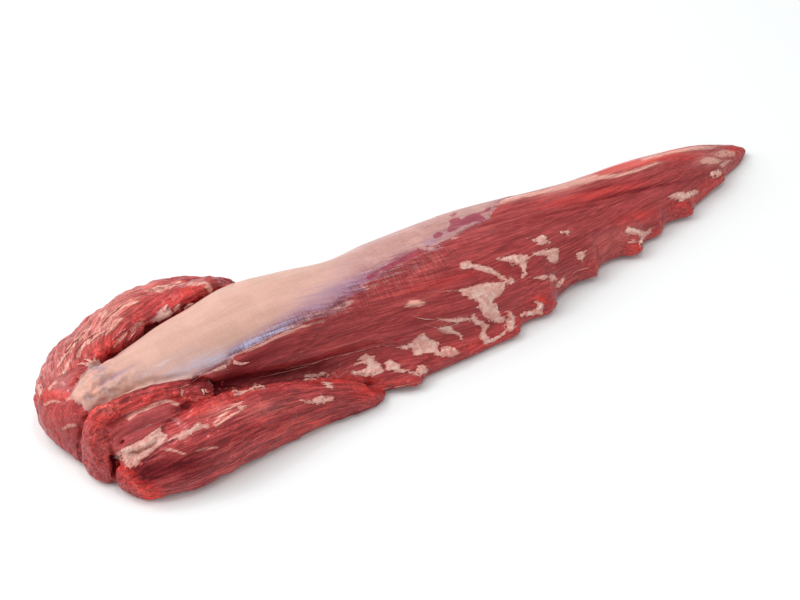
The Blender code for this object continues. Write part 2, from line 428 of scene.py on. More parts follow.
# %% Outline the patches of fat
FAT = {
    "star": (
        (527, 238.5), (535, 239), (538, 236.5), (542.5, 235), (548, 236.5), (546, 239.5), (553, 242),
        (546, 243.5), (540.5, 246), (537, 242), (532, 240)),
    "small_star": (
        (559, 232), (564, 230.5), (570.5, 230.5), (568.5, 235), (565.5, 233.5), (561.5, 234)),
    "flag": (
        (532, 253), (540.5, 251), (547.5, 248.5), (558, 248), (558.5, 259), (555, 264), (547.5, 259.5),
        (545.5, 255.5), (540, 254.5), (533, 255)),
    "hook": (
        (496.5, 259.5), (504, 257), (512, 255), (522, 255), (528, 254.5), (528.5, 258), (526, 261),
        (527, 266.5), (525.5, 271), (527.5, 274), (522, 278), (520.5, 277), (524, 273.5), (521.5, 268),
        (519.5, 264), (513, 266), (509, 264.5), (514, 262.5), (506.5, 262), (501.5, 260.5)),
    "curl": (
        (459, 265), (469, 261), (472.5, 264), (481, 265), (490, 267.5), (496.5, 271.5), (503, 276.5),
        (508, 279.5), (511, 277), (514.5, 281), (512, 283.5), (506.5, 283), (501.5, 279.5),
        (495.5, 275.5), (489.5, 272.5), (481, 270.5), (472.5, 268.5), (464.5, 269.5)),
    "bead_row": (
        (531, 278), (538.5, 276.5), (545, 274), (547.5, 275.5), (554, 274), (556, 279), (552.5, 280.5),
        (549, 277.5), (542.5, 280.5), (537, 278.5)),
    "triangle": (
        (457, 290), (468.5, 286.5), (481, 284), (496.5, 282), (505.5, 281.5), (505.5, 287), (503, 293),
        (495.5, 298), (493, 301), (499, 310), (503, 318.5), (501.5, 325.5), (494, 322.5),
        (486.5, 318.5), (482.5, 311), (477.5, 307), (480, 302), (471, 299), (463.5, 295.5)),
    "edge_strip": (
        (435, 318), (452, 319), (462, 318), (471, 318), (475.5, 313.5), (477, 318.5), (482.5, 321),
        (486.5, 325.5), (486, 332.5), (488, 338), (495, 338), (503, 333), (506, 330), (505, 334),
        (496, 341), (485, 344.5), (480, 337), (481, 330), (478, 325), (473.5, 321.5), (468.5, 321),
        (458.5, 324.5), (450.5, 322.5)),
    "wisp": (
        (440.5, 327.5), (449.5, 326), (454.5, 330), (458.5, 335), (463.5, 339), (461, 340),
        (455.5, 336), (450.5, 333), (444, 331.5), (439, 330)),
    "cap": (
        (394.5, 348), (402.5, 344.5), (414, 339), (424, 334.5), (430, 340), (437, 344.5),
        (440.5, 351.5), (443.5, 357), (435, 354.5), (429, 352), (423.5, 352.5), (420, 356),
        (415.5, 354.5), (410.5, 351), (402.5, 351.5), (398, 350.5)),
    "cap_lump": (
        (440.5, 348), (448.5, 346), (452, 349.5), (458, 350.5), (458.5, 354), (452, 357.5),
        (448.5, 356.5), (444, 356.5)),
    "leaf": (
        (354.5, 363), (360, 358.5), (365, 354.5), (368, 357.5), (374, 358.5), (381, 362), (384.5, 368),
        (382, 372), (375, 375.5), (366, 376.5), (356.5, 374.5), (351, 371), (358, 369.5), (366, 368),
        (368, 363.5), (363.5, 362)),
    "saddle": (
        (384, 362), (391.5, 358.5), (398, 363), (400.5, 368), (407, 371), (415.5, 371), (418.5, 365.5),
        (423.5, 364.5), (428, 370), (425, 373.5), (421, 376), (411, 373.5), (401, 372), (393, 371.5),
        (386.5, 369)),
    "tongue_knob": (
        (506, 315), (509, 311.5), (511, 315), (514.5, 318.5), (516, 322.5), (513, 329), (509.5, 331.5),
        (505.5, 329), (504.5, 322.5)),
    "tongue_rim": (
        (535, 301), (542.5, 302), (544, 308.5), (542.5, 313.5), (537, 315), (528.5, 315.5), (522, 316),
        (519.5, 314.5), (527, 311), (533.5, 311), (535.5, 306)),
    "chip": ((575, 255), (580.5, 251.5), (586, 251), (584.5, 257.5), (582, 261), (578, 257.5)),
    "rim_chip": ((557, 281.5), (561.5, 278.5), (565, 277), (565, 281.5), (560.5, 287), (556, 288)),
    "fringe": (
        (624.5, 232), (628, 226.5), (634, 228), (640.5, 230), (645.5, 232), (652, 228), (651, 232),
        (644.5, 237), (642, 241), (639.5, 246), (638, 242), (640.5, 237), (636.5, 234), (629, 234)),
    "fringe_bit": ((627, 241.5), (634, 239.5), (636, 242), (630, 243)),
    "comb": (
        (668.5, 197), (673.5, 194), (681.5, 192), (688, 193), (693, 190.5), (698.5, 189.5),
        (698.5, 193), (693, 195.5), (688, 198), (682.5, 201), (676.5, 200)),
    "tail_knob": (
        (710.5, 172), (716, 170), (721, 170), (722, 174), (717, 177.5), (712, 177), (709.5, 174.5)),
    "front_strip": (
        (114.5, 458.5), (117.5, 451.5), (125.5, 447), (133.5, 443), (141, 439), (147, 435), (154, 430),
        (161, 426), (163.5, 433), (167.5, 436), (165.5, 441), (161, 446), (155, 450.5), (149, 454.5),
        (144, 458.5), (141, 461.5), (138, 464.5), (130.5, 468), (126.5, 466.5), (123.5, 461.5),
        (118.5, 461.5)),
    "front_ridge": (
        (168.5, 441), (172.5, 437), (179.5, 434), (181.5, 431), (190, 430), (195, 426), (198, 423),
        (201, 425), (209, 425), (208, 427), (200, 429), (194, 432), (188, 436), (181.5, 439),
        (175.5, 440), (170.5, 442)),
    "front_top": (
        (232.5, 391), (236.5, 389), (246.5, 390), (256, 384), (261.5, 385.5), (266, 387.5),
        (256, 389.5), (249, 391.5), (240.5, 394), (233.5, 394)),
    "front_speck": ((237, 407), (242, 404.5), (247, 405.5), (241, 411)),
    "flap_streak": (
        (301, 400.5), (312, 400.5), (322, 395), (326.5, 398), (333.5, 396), (336, 398.5),
        (326.5, 402.5), (318, 404), (309.5, 402.5)),
    "seam_streak": (
        (301.5, 375.5), (306.5, 374), (315, 374), (322, 371.5), (326.5, 373), (329, 375), (322, 376),
        (312, 377.5), (305, 378)),
    "seam_spot": ((322, 381), (329, 381), (333.5, 385.5), (332, 389), (326.5, 387), (322, 383.5)),
    "edge_white": ((37.5, 385), (41, 384), (41.5, 391), (40, 396), (38.5, 398)),
}

fat = patches(FAT)
print(len(FAT), "patches of fat cover", int((fat > 0).sum()), "points")

# %% [markdown]
# ## Veils and painted highlights, gaps and one smooth face
#
# Here and there a shred of film clings to the bare meat as a pale streak, mostly long. On the back lobe
# and the tail's ridge these streaks also paint the pale highlights that wet fibres catch. Near its tail
# end the film has gaps, where the meat shows purple. And the middle lobe has one clean cut face, without
# furrows.
# All three are outlines too, so the same function draws them.

# %% Outline the veils, the gaps and the face
# Pale streaks of film on bare meat; on the back lobe and the tail's ridge they also paint highlights
VEILS_AND_HIGHLIGHTS = {
    "back_1": (
        (66, 350), (74, 342), (82, 334), (89, 323), (91, 324), (86, 334), (77, 342.5), (69, 350)),
    "back_2": (
        (76, 355), (78, 347), (87, 339), (97, 333), (98.5, 326), (100.5, 326), (100, 334), (89, 341),
        (81, 348), (78.5, 355)),
    "back_3": (
        (87, 342.5), (99, 336), (106, 330), (110, 326), (117.5, 319.5), (124, 317.5), (123, 320),
        (118, 323), (114, 329.5), (108, 334.5), (100, 337), (89, 344)),
    "back_4": ((112.5, 348), (119, 339), (126, 331.5), (128, 333), (121, 341), (115, 348)),
    "back_5": (
        (101.5, 328), (112, 316), (122, 306.5), (131, 299), (132, 300.5), (123, 308.5), (114, 317.5),
        (104, 329)),
    "back_6": ((98.5, 313.5), (105, 310.5), (110.5, 313), (105.5, 317), (100, 318)),
    "back_7": ((125, 306), (132, 302), (140, 301.5), (139, 304), (132, 305), (127, 308)),
    "back_8": ((56, 366), (62, 358), (70, 349), (71.5, 351), (64, 360), (58, 367)),
    "back_9": ((62, 373), (66, 364), (69, 359), (70.5, 360), (67, 368), (64, 374)),
    "back_10": ((48, 388), (52, 383), (57, 380), (58, 382), (53, 386), (49, 391)),
    "left_1": ((44, 404), (52, 400), (60, 401), (60, 402.5), (52, 402), (45, 406)),
    "left_2": ((66, 399), (72, 396), (78, 397), (77, 399), (71, 399), (67, 401)),
    "left_3": ((62, 428), (70, 424), (76, 425), (75, 426.5), (69, 427), (63, 430)),
    "back_11": ((130, 330), (136, 324), (143, 321), (144, 323), (137, 327), (132, 332)),
    "back_top": (
        (160, 289.5), (165, 285.5), (171, 281.5), (180, 280), (181, 281.5), (173, 284), (167, 288.5),
        (162, 291.5)),
    "back_patch": (
        (145, 291.5), (151, 290), (157, 286), (164, 285.5), (163, 290), (160, 292.5), (152.5, 291.5)),
    "knob_line": (
        (168, 287.5), (176, 283.5), (190, 281.5), (203, 280), (209, 282), (212, 289), (210, 290),
        (206.5, 283.5), (190, 283.5), (177, 285.5), (169.5, 289)),
    "knob_end": ((205, 286), (210, 284), (212.5, 289), (213, 295), (210, 297), (208.5, 291)),
    "ridge_1": (
        (488, 204), (502, 197), (530, 192.5), (549, 188), (574, 180), (596, 174.5), (600, 177),
        (580, 184), (556, 191), (530, 196.5), (508, 201), (494, 206)),
    "ridge_2": (
        (574, 183), (596, 176), (618, 173.5), (640, 167.5), (654, 162), (663, 161), (652, 166),
        (636, 172), (618, 177), (600, 179), (584, 184)),
    "ridge_3": (
        (640, 158.5), (660, 153.5), (676, 150), (695, 146.5), (717, 146), (712, 149), (694, 149.5),
        (674, 153), (656, 157.5), (642, 161)),
    "tip_1": ((716, 154), (722, 149), (729, 150), (735, 153), (734, 157), (727, 156), (721, 157)),
    "tip_2": ((700, 161), (708, 157), (715, 158), (722, 160), (718, 163.5), (709, 164), (703, 164)),
    "tip_3": ((720, 165), (726, 160.5), (732, 160), (727, 164), (723, 167.5)),
    "flank_smear": (
        (404, 307.5), (407.5, 302.5), (413, 299.5), (418, 301), (424.5, 300.5), (427.5, 303),
        (421, 306), (414, 306), (408, 307.5)),
    "film_fringe": (
        (244, 351.5), (262, 343), (276, 336), (290, 330), (300, 325.5), (316, 321.5), (330, 317.5),
        (330, 319.5), (316, 324), (300, 328.5), (290, 333), (276, 339), (262, 346), (246, 353)),
    "front_fan_1": (
        (212, 424), (222, 413.5), (232, 405.5), (243, 400.5), (243.5, 401.3), (233, 407), (214, 424.5)),
    "front_fan_2": (
        (215, 426), (226, 417.5), (236, 412), (246, 407.5), (246, 408.3), (236.5, 413.5), (217, 426.5)),
    "front_line_1": (
        (163, 450), (170, 448.2), (178, 450.4), (186, 453.8), (185.5, 454.6), (177, 452), (168, 450.4)),
    "front_line_2": (
        (196, 450.8), (206, 447.4), (217, 446.6), (217, 447.6), (207, 448.8), (198, 451.6)),
    "middle_edge": (
        (126, 418.5), (134, 412), (147, 407), (157, 401.5), (160, 403.5), (150, 409.5), (138, 414),
        (129, 420)),
    "middle_root": (
        (158, 401), (166, 399.5), (174, 401), (181, 403), (178, 405.5), (170, 403.5), (161, 404)),
}
GAPS = {
    "large": (
        (460.5, 223), (464, 218.5), (470, 216), (474, 214.5), (479, 213), (480.5, 216), (484.5, 219),
        (480, 221.5), (474, 220.5), (469, 224), (463, 224.5)),
    "middle": (
        (447.5, 230), (450, 226.5), (455, 225), (461, 225.5), (459, 228), (454, 230.5), (451, 232.5),
        (448, 231.8)),
    "small": ((433, 237), (436, 233), (442, 231.5), (442, 234.8), (438, 238), (434, 238.5)),
    "top": ((485, 210.5), (486.5, 207.5), (490, 207), (490.5, 209.5), (487, 211.5)),
    "brown": ((449.5, 222), (453, 219), (458.6, 218.6), (456.5, 221.4), (452, 222.8)),
    "streak": ((449, 216.5), (456, 212.5), (456.5, 214), (451, 217.5)),
    "fringe_1": ((439, 244), (446, 241), (451, 239), (449, 242.5), (441, 246)),
    "band_1": (
        (400, 259), (408, 253.5), (418, 250), (424, 249.5), (419, 254.5), (408, 258.5), (401, 262)),
    "band_2": ((366, 278), (374, 272.5), (380, 270.5), (376, 275), (369, 279.5)),
    "band_3": ((384, 268), (392, 263), (399, 260.5), (394, 265.5), (386, 270.5)),
}
FACES = {
    "middle": (
        (112, 456), (110, 444), (117, 433), (127, 421), (140, 414), (157, 405), (172, 404), (184, 406),
        (180, 413), (168, 420), (155, 428), (146, 434), (135, 441), (120, 449)),
}

veil_and_highlight = patches(VEILS_AND_HIGHLIGHTS)
gap = patches(GAPS)
face = patches(FACES)
print("veils, gaps and the face cover", [int((marks > 0).sum()) for marks in (veil_and_highlight, gap, face)], "points")

# %% [markdown]
# ## Silver skin
#
# A pale film covers the top of the long muscle. At the head it is thick and hides the meat: it looks
# peach. Towards its front edge and its tail end it gets thin, and the dark meat behind makes it look
# blue, lilac and then purple, as skin does over a vein. So the film is kept as a thickness, and the
# material turns thickness into colour.

# %% Outline the film, and say how thick it is
FILM_OUTLINE = (
    (74.5, 366), (82, 360.5), (87, 362.5), (91, 360.5), (97, 355.5), (100.5, 360), (106, 361),
    (113, 357), (122, 351), (146, 330), (183, 300), (230, 268), (300, 240), (380, 215), (450, 190),
    (505, 180), (506, 198), (500, 203), (494, 210), (491.5, 216.5), (487, 221), (481, 224.5),
    (473.5, 226.5), (464.5, 230.5), (457, 236.5), (449.5, 241), (439, 249), (427, 255), (420, 259),
    (409.5, 265), (400.5, 270), (391, 276), (382, 282), (373, 286), (363.5, 294), (353.5, 303.5),
    (347, 310), (340, 314), (329, 318), (320.5, 320), (306.5, 323.5), (298, 326.5), (290, 331),
    (276, 336.5), (260, 345), (246, 350.5), (234, 357), (226, 366), (208, 373), (200, 376),
    (187.5, 385), (176, 389), (168, 391), (160, 388.5), (149.5, 392.5), (137, 398.5), (128, 402),
    (110, 403), (103.5, 405), (96, 410.5), (91, 412.5), (84, 411), (80.5, 405), (74.5, 401),
    (69, 395.5), (71.5, 391), (77.5, 383), (80.5, 375.5), (86.5, 369.5), (88, 365),
)
GROOVE_FILM = (
    (155, 316), (159, 310), (166, 305), (168, 308), (174, 311), (183, 305), (185, 309), (177, 315),
    (168, 320), (159, 325), (151, 328))
# Photo x, and how many pixels behind its front edge the film reaches its full thickness
FULL_AFTER = (
    (60, 3), (150, 4), (200, 9), (250, 16), (300, 24), (340, 32), (400, 22), (430, 5), (450, 4),
    (510, 4))
# Photo x, and how thick the film is there when full
THICKEST = ((320, 1.0), (360, 0.82), (420, 0.7), (470, 0.7), (510, 0.62))
# Photo x, and how many pixels its edge takes to fade out
EDGE_FADE = ((60, 1.0), (280, 1.2), (320, 4.0), (420, 4.5), (455, 1.3), (510, 1.0))
# On the far side: x, and the height at which the film ends there, in millimetres
FAR_EDGE = ((-262, 34), (-118, 22), (60, 24), (120, 36))

FILM_END_X = 108
# In pixels: where the edge begins to thicken, and where the film behind the horizon is full
EDGE_START, FULL_BEHIND = -1, 12
WHOLE_FILM = 200
FILM_SOFTENING = 4

film = inside(FILM_OUTLINE, margin=WHOLE_FILM)
film[~on_main] = FAR_OUT
film = np.maximum(film, inside(GROOVE_FILM))


def by_photo_x(table):
    return np.interp(pixels[:, 0], *np.array(table, float).T)


thickness = ease(film, EDGE_START, by_photo_x(FULL_AFTER)) * by_photo_x(THICKEST)
to_film_end = FILM_END_X - measured[:, 0]
above_far_edge = measured[:, 2] - np.interp(measured[:, 0], *np.array(FAR_EDGE, float).T)
behind = np.minimum(above_far_edge, to_film_end) * PIXELS_PER_MM
behind[~on_main] = FAR_OUT
film = np.where(seen, film / by_photo_x(EDGE_FADE), behind)
thickness = np.where(seen, thickness, ease(behind, EDGE_START, FULL_BEHIND) * by_photo_x(THICKEST))
for _ in range(FILM_SOFTENING):
    film = 0.5 * film + 0.5 * neighbour_mean(film)
    thickness = 0.5 * thickness + 0.5 * neighbour_mean(thickness)
print("the film covers", int((film > 0).sum()), "points")

# %% [markdown]
# ## Soft changes of colour
#
# Freshly cut edges and air-bright meat are a clear red, and the same spots paint highlights on ridges and
# corners that catch the light. Where thin membranes lie on the meat, it is pinkish grey, and spots of
# that kind also paint a pinkish sheen on lit slopes and ridges. Painted shade makes it dark and purple
# deep in the seams, furrows and hollows and under the lobes, and a few faces are a darker red. These have
# no edge, so each is a few soft spots. Spots of the same kind say where the veins run under the film,
# where fine strokes cross the grain, where the meat is torn, and where it stands out or lies in by a
# millimetre or so.

# %% Place the soft spots
# Clear red of cut edges and torn rims, and painted highlights on ridges and corners that catch the light
BRIGHT_AND_HIGHLIGHT = (
    (56, 396, 24, 4, 0, 0.6), (60, 420, 16, 16, 0, 0.3), (76, 384, 5, 12, 20, 0.5),
    (600, 250, 24, 9, 15, 0.2), (300, 424, 26, 8, 14, 0.35), (250, 432, 26, 8, 14, 0.25),
    (95, 412, 12, 6, 20, 0.5), (130, 310, 50, 14, 42, 0.5), (645, 158, 50, 5, 15, 1.0),
    (188, 293, 24, 9, 25, 0.9), (105, 350, 18, 9, 32, 0.8), (58, 394, 14, 4, -10, 0.7),
    (108, 412, 18, 8, 20, 1.0), (150, 397, 24, 5, 22, 0.8), (180, 396, 10, 8, 0, 0.6),
    (138, 482, 26, 7, -42, 1.0), (152, 493, 12, 8, -20, 0.9), (118, 463, 7, 6, -40, 0.9),
    (128, 474, 20, 4, -52, 1.0), (95, 425, 8, 14, 60, 0.35), (107, 409, 14, 6, 15, 0.8),
    (370, 392, 16, 8, 0, 0.7), (342, 380, 34, 5, 5, 0.55), (640, 160, 42, 5, 17, 1.0),
    (608, 192, 44, 5, 14, 0.45), (560, 203, 60, 9, 14, 0.25), (735, 150, 9, 4, -10, 1.0),
    (716, 181, 16, 5, 38, 0.6), (690, 200, 24, 5, 30, 0.5), (640, 216, 22, 6, 12, 0.5),
    (636, 247, 7, 4, 10, 0.9), (541, 300, 8, 5, 0, 0.9), (509, 322, 8, 9, 0, 0.7),
    (484, 345, 16, 4, 20, 0.8), (440, 282, 60, 5, 14, 0.35), (200, 408, 18, 8, 35, 0.5),
    (668, 228, 26, 5, 24, 0.4), (402, 382, 24, 4, 12, 0.2), (236, 398, 22, 6, 22, 0.5),
    (695, 156, 20, 4, 8, 0.5),
)
# Pinkish grey of thin membranes on the meat, and painted sheen on slopes and ridges that catch the light
MEMBRANE_AND_SHEEN = (
    (108, 408, 12, 6, 15, 0.4), (600, 250, 24, 9, 15, 0.15), (300, 424, 24, 7, 14, 0.08),
    (640, 160, 40, 4, 17, 0.35), (60, 372, 18, 20, 50, 0.2), (45, 372, 10, 20, 70, 0.1),
    (268, 408, 24, 6, 14, 0.25), (222, 410, 20, 6, 20, 0.3), (576, 184, 30, 4, 17, 0.5),
    (634, 168, 26, 3, 14, 0.4), (690, 149, 18, 2.5, 8, 0.5), (712, 158, 16, 6, 15, 0.8),
    (560, 190, 30, 5, 14, 0.25), (415, 303, 12, 3, 5, 0.4), (512, 198, 16, 4, 20, 0.5),
    (145, 408, 24, 3, 24, 0.4), (618, 236, 22, 10, 20, 0.2), (96, 322, 46, 14, 42, 0.5),
    (120, 310, 40, 10, 42, 0.4), (150, 289, 20, 6, 20, 0.3),
)
# Painted shade, dark purple red, in seams, furrows and hollows and under the lobes; also a darker red on
# a few faces
SHADE_AND_DARK = (
    (138, 430, 26, 7, 28, 0.2), (112, 460, 3, 12, 10, 1.0), (225, 381, 36, 7, 16, 0.8),
    (275, 374, 46, 5, 12, 0.6), (248, 362, 30, 5, 26, 0.7), (183, 464, 34, 14, 10, 0.6),
    (140, 475, 14, 10, -30, 0.6), (332, 366, 44, 2.5, 12, 0.5), (605, 198, 50, 1.2, 12, 1.0),
    (600, 188, 46, 1.1, 12, 0.8), (645, 188, 50, 1.2, 10, 0.9), (560, 212, 60, 1.2, 12, 0.8),
    (300, 345, 60, 12, 18, 0.35), (150, 473, 16, 12, -20, 0.6), (240, 436, 60, 5, 14, 0.25),
    (185, 407, 10, 5, 20, 0.4), (70, 432, 16, 16, 0, 0.3), (178, 408, 8, 5, 20, 0.6),
    (150, 434, 24, 1.5, 30, 0.8), (470, 312, 50, 2, 8, 0.4), (366, 392, 24, 2, 6, 0.6),
    (122, 441, 5, 4, 0, -0.9), (166, 466, 26, 9, 8, 0.35), (196, 470, 22, 8, 14, 0.2),
)
# Where the meat is whole in the photo, so that no seam shows
FILL = (
    (148, 432, 26, 5, 29, 0.5), (196, 416, 26, 5, 26, 0.5), (410, 342, 100, 12, 18, 1.2),
    (330, 368, 50, 3, 12, 0.4), (500, 305, 50, 14, 20, 1.2), (172, 294, 32, 9, 28, 1.0),
    (106, 393, 26, 5, 25, 0.8),
)
MOTTLE = ((96, 372, 18, 13, 30, 1.4), (118, 385, 30, 9, 20, 0.8), (90, 395, 16, 8, 20, 0.8))
VEIN = (
    (274, 332, 20, 5, 25, 1.3), (244, 346, 16, 5, 26, 0.8), (216, 359, 18, 5, 26, 0.7),
    (192, 365, 24, 7, 27, 0.4), (190, 363, 34, 2.0, 27, 0.6), (203, 368, 26, 1.5, 27, 0.5),
    (180, 374, 24, 1.5, 26, 0.5), (160, 366, 40, 5, 27, 0.25))
LILAC = (
    (318, 301, 34, 11, 27, 1.0), (116, 375, 24, 1.4, 29, 1.2), (340, 270, 40, 12, 27, 0.2),
    (430, 243.5, 6, 4.5, 20, 1.4), (98, 368, 10, 5, 35, 0.5), (288, 322, 20, 5, 26, 0.5),
    (238, 345, 10, 5, 26, 0.7), (352, 286, 26, 6, 26, 0.5), (372, 272, 26, 5, 26, 0.3),
    (428, 243, 12, 3, 26, 0.6), (450, 231, 12, 3, 24, 0.5))
PURPLE = (
    (398, 261, 30, 3.0, 27, 0.25), (413, 254, 14, 4, 26, 1.0), (453, 229, 8, 3, 24, 0.6),
    (470, 220, 10, 3.0, 18, 1.0), (355, 290, 26, 4, 28, 0.3), (376, 277, 24, 4, 27, 0.25),
    (440, 240, 12, 3, 24, 0.4))
HATCH = (
    (385, 284, 48, 22, 20, 1.0), (430, 262, 30, 16, 20, 0.8), (480, 232, 24, 12, 20, 0.5),
    (192, 291, 22, 8, 22, 1.0), (118, 312, 50, 18, 42, 0.5), (300, 318, 40, 8, 20, 0.3),
    (58, 375, 20, 18, 50, 0.7), (60, 415, 20, 18, 0, 0.5))
TORN = (
    (56, 396, 22, 4, 0, 0.8), (60, 420, 14, 14, 0, 0.25), (98, 352, 20, 5, 30, 0.8),
    (106, 410, 14, 7, 20, 1.0), (92, 436, 5, 20, 10, 0.5), (160, 395, 34, 5, 20, 0.9),
    (200, 398, 24, 8, 25, 1.0), (236, 392, 24, 6, 22, 0.6), (140, 481, 28, 5, -42, 1.0),
    (92, 440, 9, 24, 15, 0.4), (366, 384, 20, 5, 5, 0.7), (340, 375, 26, 3, 8, 0.5),
    (636, 243, 8, 6, 20, 0.9), (536, 306, 12, 8, 15, 0.9), (508, 322, 8, 9, 0, 0.9),
    (470, 345, 30, 5, 20, 0.5), (405, 384, 30, 5, 12, 0.25), (735, 152, 8, 6, 0, 0.8),
    (712, 180, 12, 5, 35, 0.7), (118, 462, 5, 8, 60, 0.8), (560, 284, 10, 5, 25, 0.7),
    (684, 205, 14, 5, 25, 0.6), (138, 473, 16, 10, -35, 0.5),
)
# How far the surface goes in or out at each spot, in millimetres, is the last number
SCULPT = (
    (142, 428, 28, 7, 28, -1.2), (100, 409, 12, 5, 30, 1.5), (89, 437, 5, 18, 12, 1.2),
    (165, 399, 34, 4, 22, 1.6), (140, 447, 26, 4, 28, 1.4), (196, 424, 30, 4, 25, 1.2),
    (134, 473, 14, 10, -35, -1.6), (115, 458, 3, 12, 15, -2.5), (140, 484, 24, 4, -42, 1.2),
    (100, 383, 22, 4, 24, -1.2), (86, 372, 8, 4, 40, 1.0), (122, 362, 26, 2.5, 26, -0.5),
    (105, 350, 16, 5, 30, 1.4), (80, 425, 10, 6, -20, -1.2), (60, 415, 12, 14, 0, 0.8),
    (175, 320, 26, 3, 30, -0.4), (228, 282, 8, 5, -25, -2.2), (119, 374, 24, 1.8, 27, -0.7),
    (93, 366, 6, 5, 0, -1.2), (104, 372, 5, 4, 20, 1.0), (88, 385, 8, 3, 30, 0.6),
    (150, 437, 26, 1.5, 30, -1.2), (70, 345, 24, 3, 48, 0.9), (84, 348, 24, 2.5, 48, -0.9),
    (98, 336, 26, 2.5, 46, 0.9), (108, 338, 22, 2, 44, -0.8), (118, 322, 26, 3, 44, 0.9),
    (130, 312, 24, 2.5, 40, -0.8), (140, 300, 24, 4, 30, 0.8), (200, 405, 16, 5, 30, 1.2),
    (228, 398, 14, 3, 20, -1.4), (262, 404, 26, 8, 14, 0.6), (350, 383, 30, 4, 6, 0.8),
)

soft = {
    "bright": soft_spots(BRIGHT_AND_HIGHLIGHT),
    "membrane_and_sheen": soft_spots(MEMBRANE_AND_SHEEN),
    "deep": soft_spots(SHADE_AND_DARK),
    "vein": soft_spots(VEIN),
    "lilac": soft_spots(LILAC),
    "purple": soft_spots(PURPLE),
    "hatch": soft_spots(HATCH),
    "torn": soft_spots(TORN),
    "mottle": soft_spots(MOTTLE),
}
filled = np.clip(soft_spots(FILL), 0, 1)
sculpted = soft_spots(SCULPT)
print({name: round(float(values.max()), 2) for name, values in soft.items()})

# %% [markdown]
# ## Relief
#
# The bundles of fibre stand out a little, long furrows run between some of them, fat lies on top of the
# meat, and the film is smooth. All of it is real shape: each point moves along its normal by a fraction
# of a millimetre. The noise is read in the fibres' own measures, which draws it out along the muscle.

# %% Level the seams that the photo doesn't show
FILL_ROUNDS = 180
FILL_STRENGTH = 0.9
for _ in range(FILL_ROUNDS):
    places = places + (neighbour_mean(places) - places) * (FILL_STRENGTH * filled)[:, None]
write(skin.data, places)
normals = read(skin.data, "normal")
print("levelled", int((filled > 0.5).sum()), "points")

# %% Raise and lower the net
# Length along the fibres, width across them, height, all in millimetres, and where in the noise it starts
BUNDLES = ((70, 7.0, 0.55, 0), (40, 3.4, 0.30, 31), (18, 1.8, 0.14, 71))
FURROW_LENGTH, FURROW_SPACING, FURROW_DEPTH, FURROW_SHARPNESS, FURROW_START = 110, 11, 1.0, 0.07, 63
FLANK_SHARE = 0.55
FAT_HEIGHT, FAT_KNOBS, FILM_HEIGHT = 0.6, 0.4, 0.35
# Lumps of plain noise: size and height
HEAD_LUMPS = ((11, 1.2), (5, 0.7), (2.6, 0.35))
CRUMBS = ((5.0, 1.7), (2.4, 1.3))
MOTTLE_LUMPS = ((6.0, 2.0), (3.0, 1.2))
FAT_LUMPS = ((2.6, 1.4), (5.0, 1.0))
# From where to where each thing sets in
FILM_FROM, THICK_FROM, FAT_FROM, FACE_FROM = (0, 2), (0.1, 0.6), (-0.5, 2.5), (-1.0, 3.0)
RAGGED_FROM, CRUMBS_FROM, RELIEF_FROM = (0.5, 1.6), (2.0, 5.0), (0.3, 2.5)
TRIM_HEIGHT, TRIM_TORN = 15, 0.5
# How much of the fibres' relief the film, the fat and the cut face take away
FILM_CALMS, FAT_CALMS, FACE_CALMS = 0.85, 0.6, 0.85
# How much of the tearing the deep places lose, and how much of its lumps the cut face
DEEP_CALMS, FACE_CALMS_LUMPS = 0.9, 0.8
# Lumps that are weaker than this are left out
TRACE = 0.01

on_film = ease(film, *FILM_FROM) * ease(thickness, *THICK_FROM)
on_fat = ease(fat, *FAT_FROM)
edge = ease(-hollow, *RAGGED_FROM) * on_flank * (measured[:, 2] < TRIM_HEIGHT) * (measured[:, 1] < 0)
off_table = ease(places[:, 2] / MM, *CRUMBS_FROM)
torn = np.clip(soft["torn"] + TRIM_TORN * edge, 0, 1) * off_table * (1 - on_film)
torn *= 1 - DEEP_CALMS * np.clip(soft["deep"], 0, 1)
smooth_face = ease(face, *FACE_FROM)
share = np.where(on_flank, FLANK_SHARE, 1.0)
rise = np.zeros(COUNT)
for i, (u, v, w) in enumerate(fibre):
    for length, width, height, start in BUNDLES:
        rise[i] += noise.noise((u / length, v / width, w / width + start)) * height
    ridge = noise.noise((u / FURROW_LENGTH, v / FURROW_SPACING, w / FURROW_SPACING + FURROW_START))
    rise[i] -= math.exp(-((ridge / FURROW_SHARPNESS) ** 2)) * FURROW_DEPTH
rise *= share * (1 - FILM_CALMS * on_film) * (1 - FAT_CALMS * on_fat) * (1 - FACE_CALMS * smooth_face)


def add_lumps(amount, lumps):
    """Adds plain noise of each size and height, as much as the amount at each point says."""
    for i in np.flatnonzero(amount > TRACE):
        spot = Vector(places[i]) / MM
        rise[i] += amount[i] * sum(noise.noise(spot / size) * height for size, height in lumps)


add_lumps(np.where(on_flank, 0.0, 1 - FACE_CALMS_LUMPS * smooth_face), HEAD_LUMPS)
add_lumps(torn, CRUMBS)
add_lumps(np.clip(soft["mottle"], 0, 1), MOTTLE_LUMPS)
add_lumps(on_fat * FAT_KNOBS, FAT_LUMPS)
rise += on_fat * FAT_HEIGHT + on_film * FILM_HEIGHT + sculpted
rise *= ease(places[:, 2] / MM, *RELIEF_FROM)
places = places + normals * (rise * MM)[:, None]
places[:, 2] = np.maximum(places[:, 2], 0)
write(skin.data, places)
surface = BVHTree.FromPolygons(places.tolist(), [tuple(face.vertices) for face in skin.data.polygons])
print("relief from", round(float(rise.min()), 2), "to", round(float(rise.max()), 2), "mm")


# %% Keep the marks on the net for the material
def keep(name, values):
    kind = "FLOAT_VECTOR" if values.ndim == 2 else "FLOAT"
    kept = skin.data.attributes.new(name, kind, "POINT")
    kept.data.foreach_set("vector" if values.ndim == 2 else "value", values.astype(np.float32).ravel())


